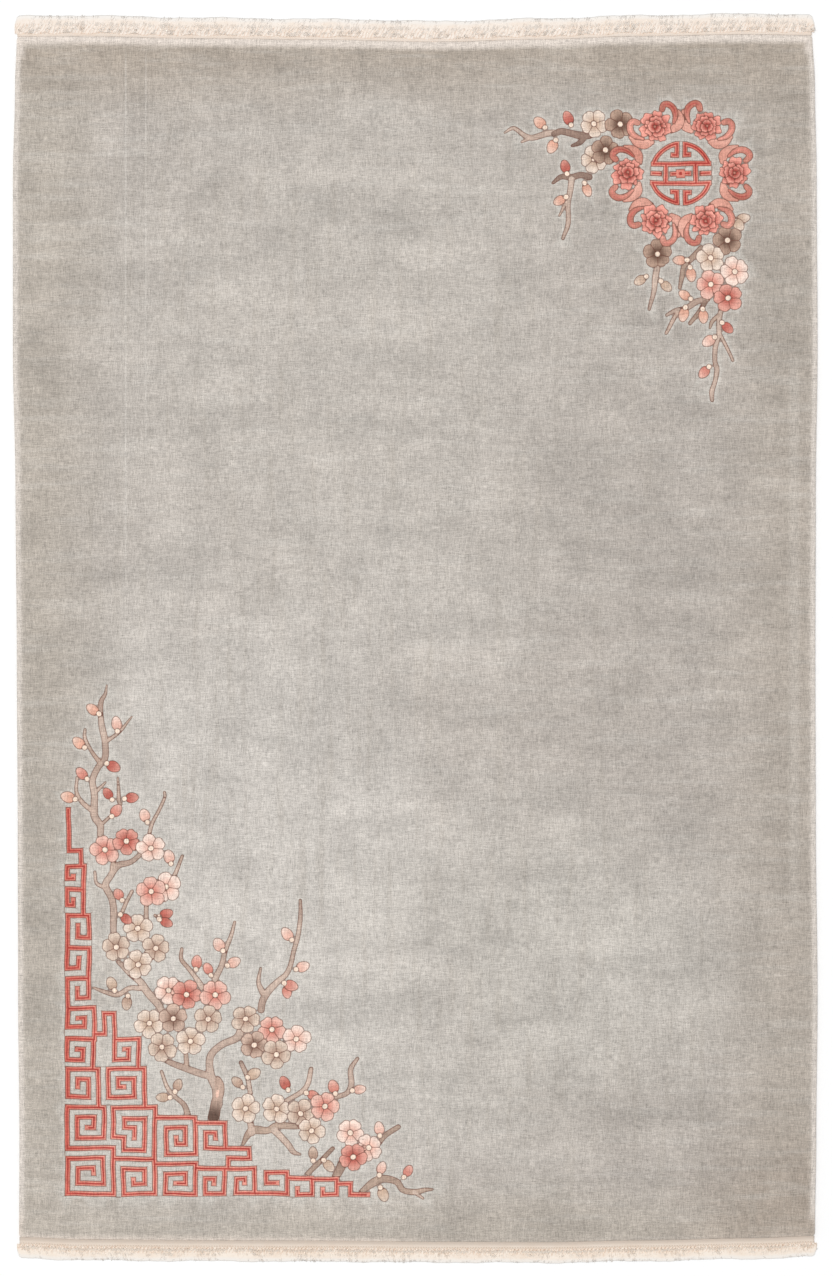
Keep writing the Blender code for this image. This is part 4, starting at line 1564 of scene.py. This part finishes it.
def make_floor():
    """A plain pale floor, which isn't part of the carpet."""
    mesh = bpy.data.meshes.new("floor")
    mesh.from_pydata([(-12.0, -12.0, -0.0004), (12.0, -12.0, -0.0004), (12.0, 12.0, -0.0004),
                      (-12.0, 12.0, -0.0004)], [], [(0, 1, 2, 3)])
    material = bpy.data.materials.new("pale floor")
    material.use_nodes = True
    shader = material.node_tree.nodes["Principled BSDF"]
    shader.inputs["Base Color"].default_value = (0.98, 0.98, 0.98, 1.0)
    shader.inputs["Roughness"].default_value = 0.9
    shader.inputs["Specular IOR Level"].default_value = 0.1
    mesh.materials.append(material)
    floor = bpy.data.objects.new("floor", mesh)
    bpy.context.scene.collection.objects.link(floor)


def make_lights():
    """Soft daylight from all round, with a wide light high on the left."""
    world = bpy.data.worlds.new("studio")
    world.use_nodes = True
    world.node_tree.nodes["Background"].inputs["Color"].default_value = (1.0, 1.0, 1.0, 1.0)
    world.node_tree.nodes["Background"].inputs["Strength"].default_value = 0.60
    bpy.context.scene.world = world
    light = bpy.data.lights.new("wide light", "AREA")
    light.shape = "RECTANGLE"
    light.size = 8.0
    light.size_y = 8.0
    light.energy = 1940.0
    lamp = bpy.data.objects.new("wide light", light)
    lamp.location = (-3.0, 2.0, 20.0)
    lamp.rotation_euler = Vector((3.0, -2.0, -20.0)).to_track_quat("-Z", "Y").to_euler()
    bpy.context.scene.collection.objects.link(lamp)


def make_camera():
    """Straight above the carpet's middle, with its length upright in the picture."""
    data = bpy.data.cameras.new("camera")
    data.lens = 99.0
    data.sensor_width = 36.0
    camera = bpy.data.objects.new("camera", data)
    camera.location = in_frame(0.0, 2.0, 8000.0 + PILE_HEIGHT)
    bpy.context.scene.collection.objects.link(camera)
    bpy.context.scene.camera = camera


def main():
    bpy.context.scene.view_settings.view_transform = "Standard"
    make_camera()
    make_lights()
    make_floor()
    pile = make_pile(wool_material())
    woven = band_material()
    rolled = roll_material()
    yarn = yarn_material()
    tree, sockets = fringe_tree("bundles_along_a_line")
    pieces = []
    for name, section, layer in (("top", ROLL_OVER_BAND, TOP_YARNS),
                                 ("bottom", ROLL_PAST_BAND, BOTTOM_YARNS)):
        reach = 1000.0 * layer.length + layer.beyond - BAND_DEPTH - 0.4
        pieces.append((make_band("end_band_" + name, layer.end, woven), name))
        pieces.append((make_roll("fringe_roll_" + name, layer.end, reach, section, rolled), name))
        pieces.append((make_fringe(layer, tree, sockets, yarn), name))
    pieces.append((make_fringe(TOP_LOCKS, tree, sockets, yarn), "top"))
    for piece, name in pieces:
        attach(piece, "root")
        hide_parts("fringe_" + name)
    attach(pile, "root")
    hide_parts("pile_rug")


main()
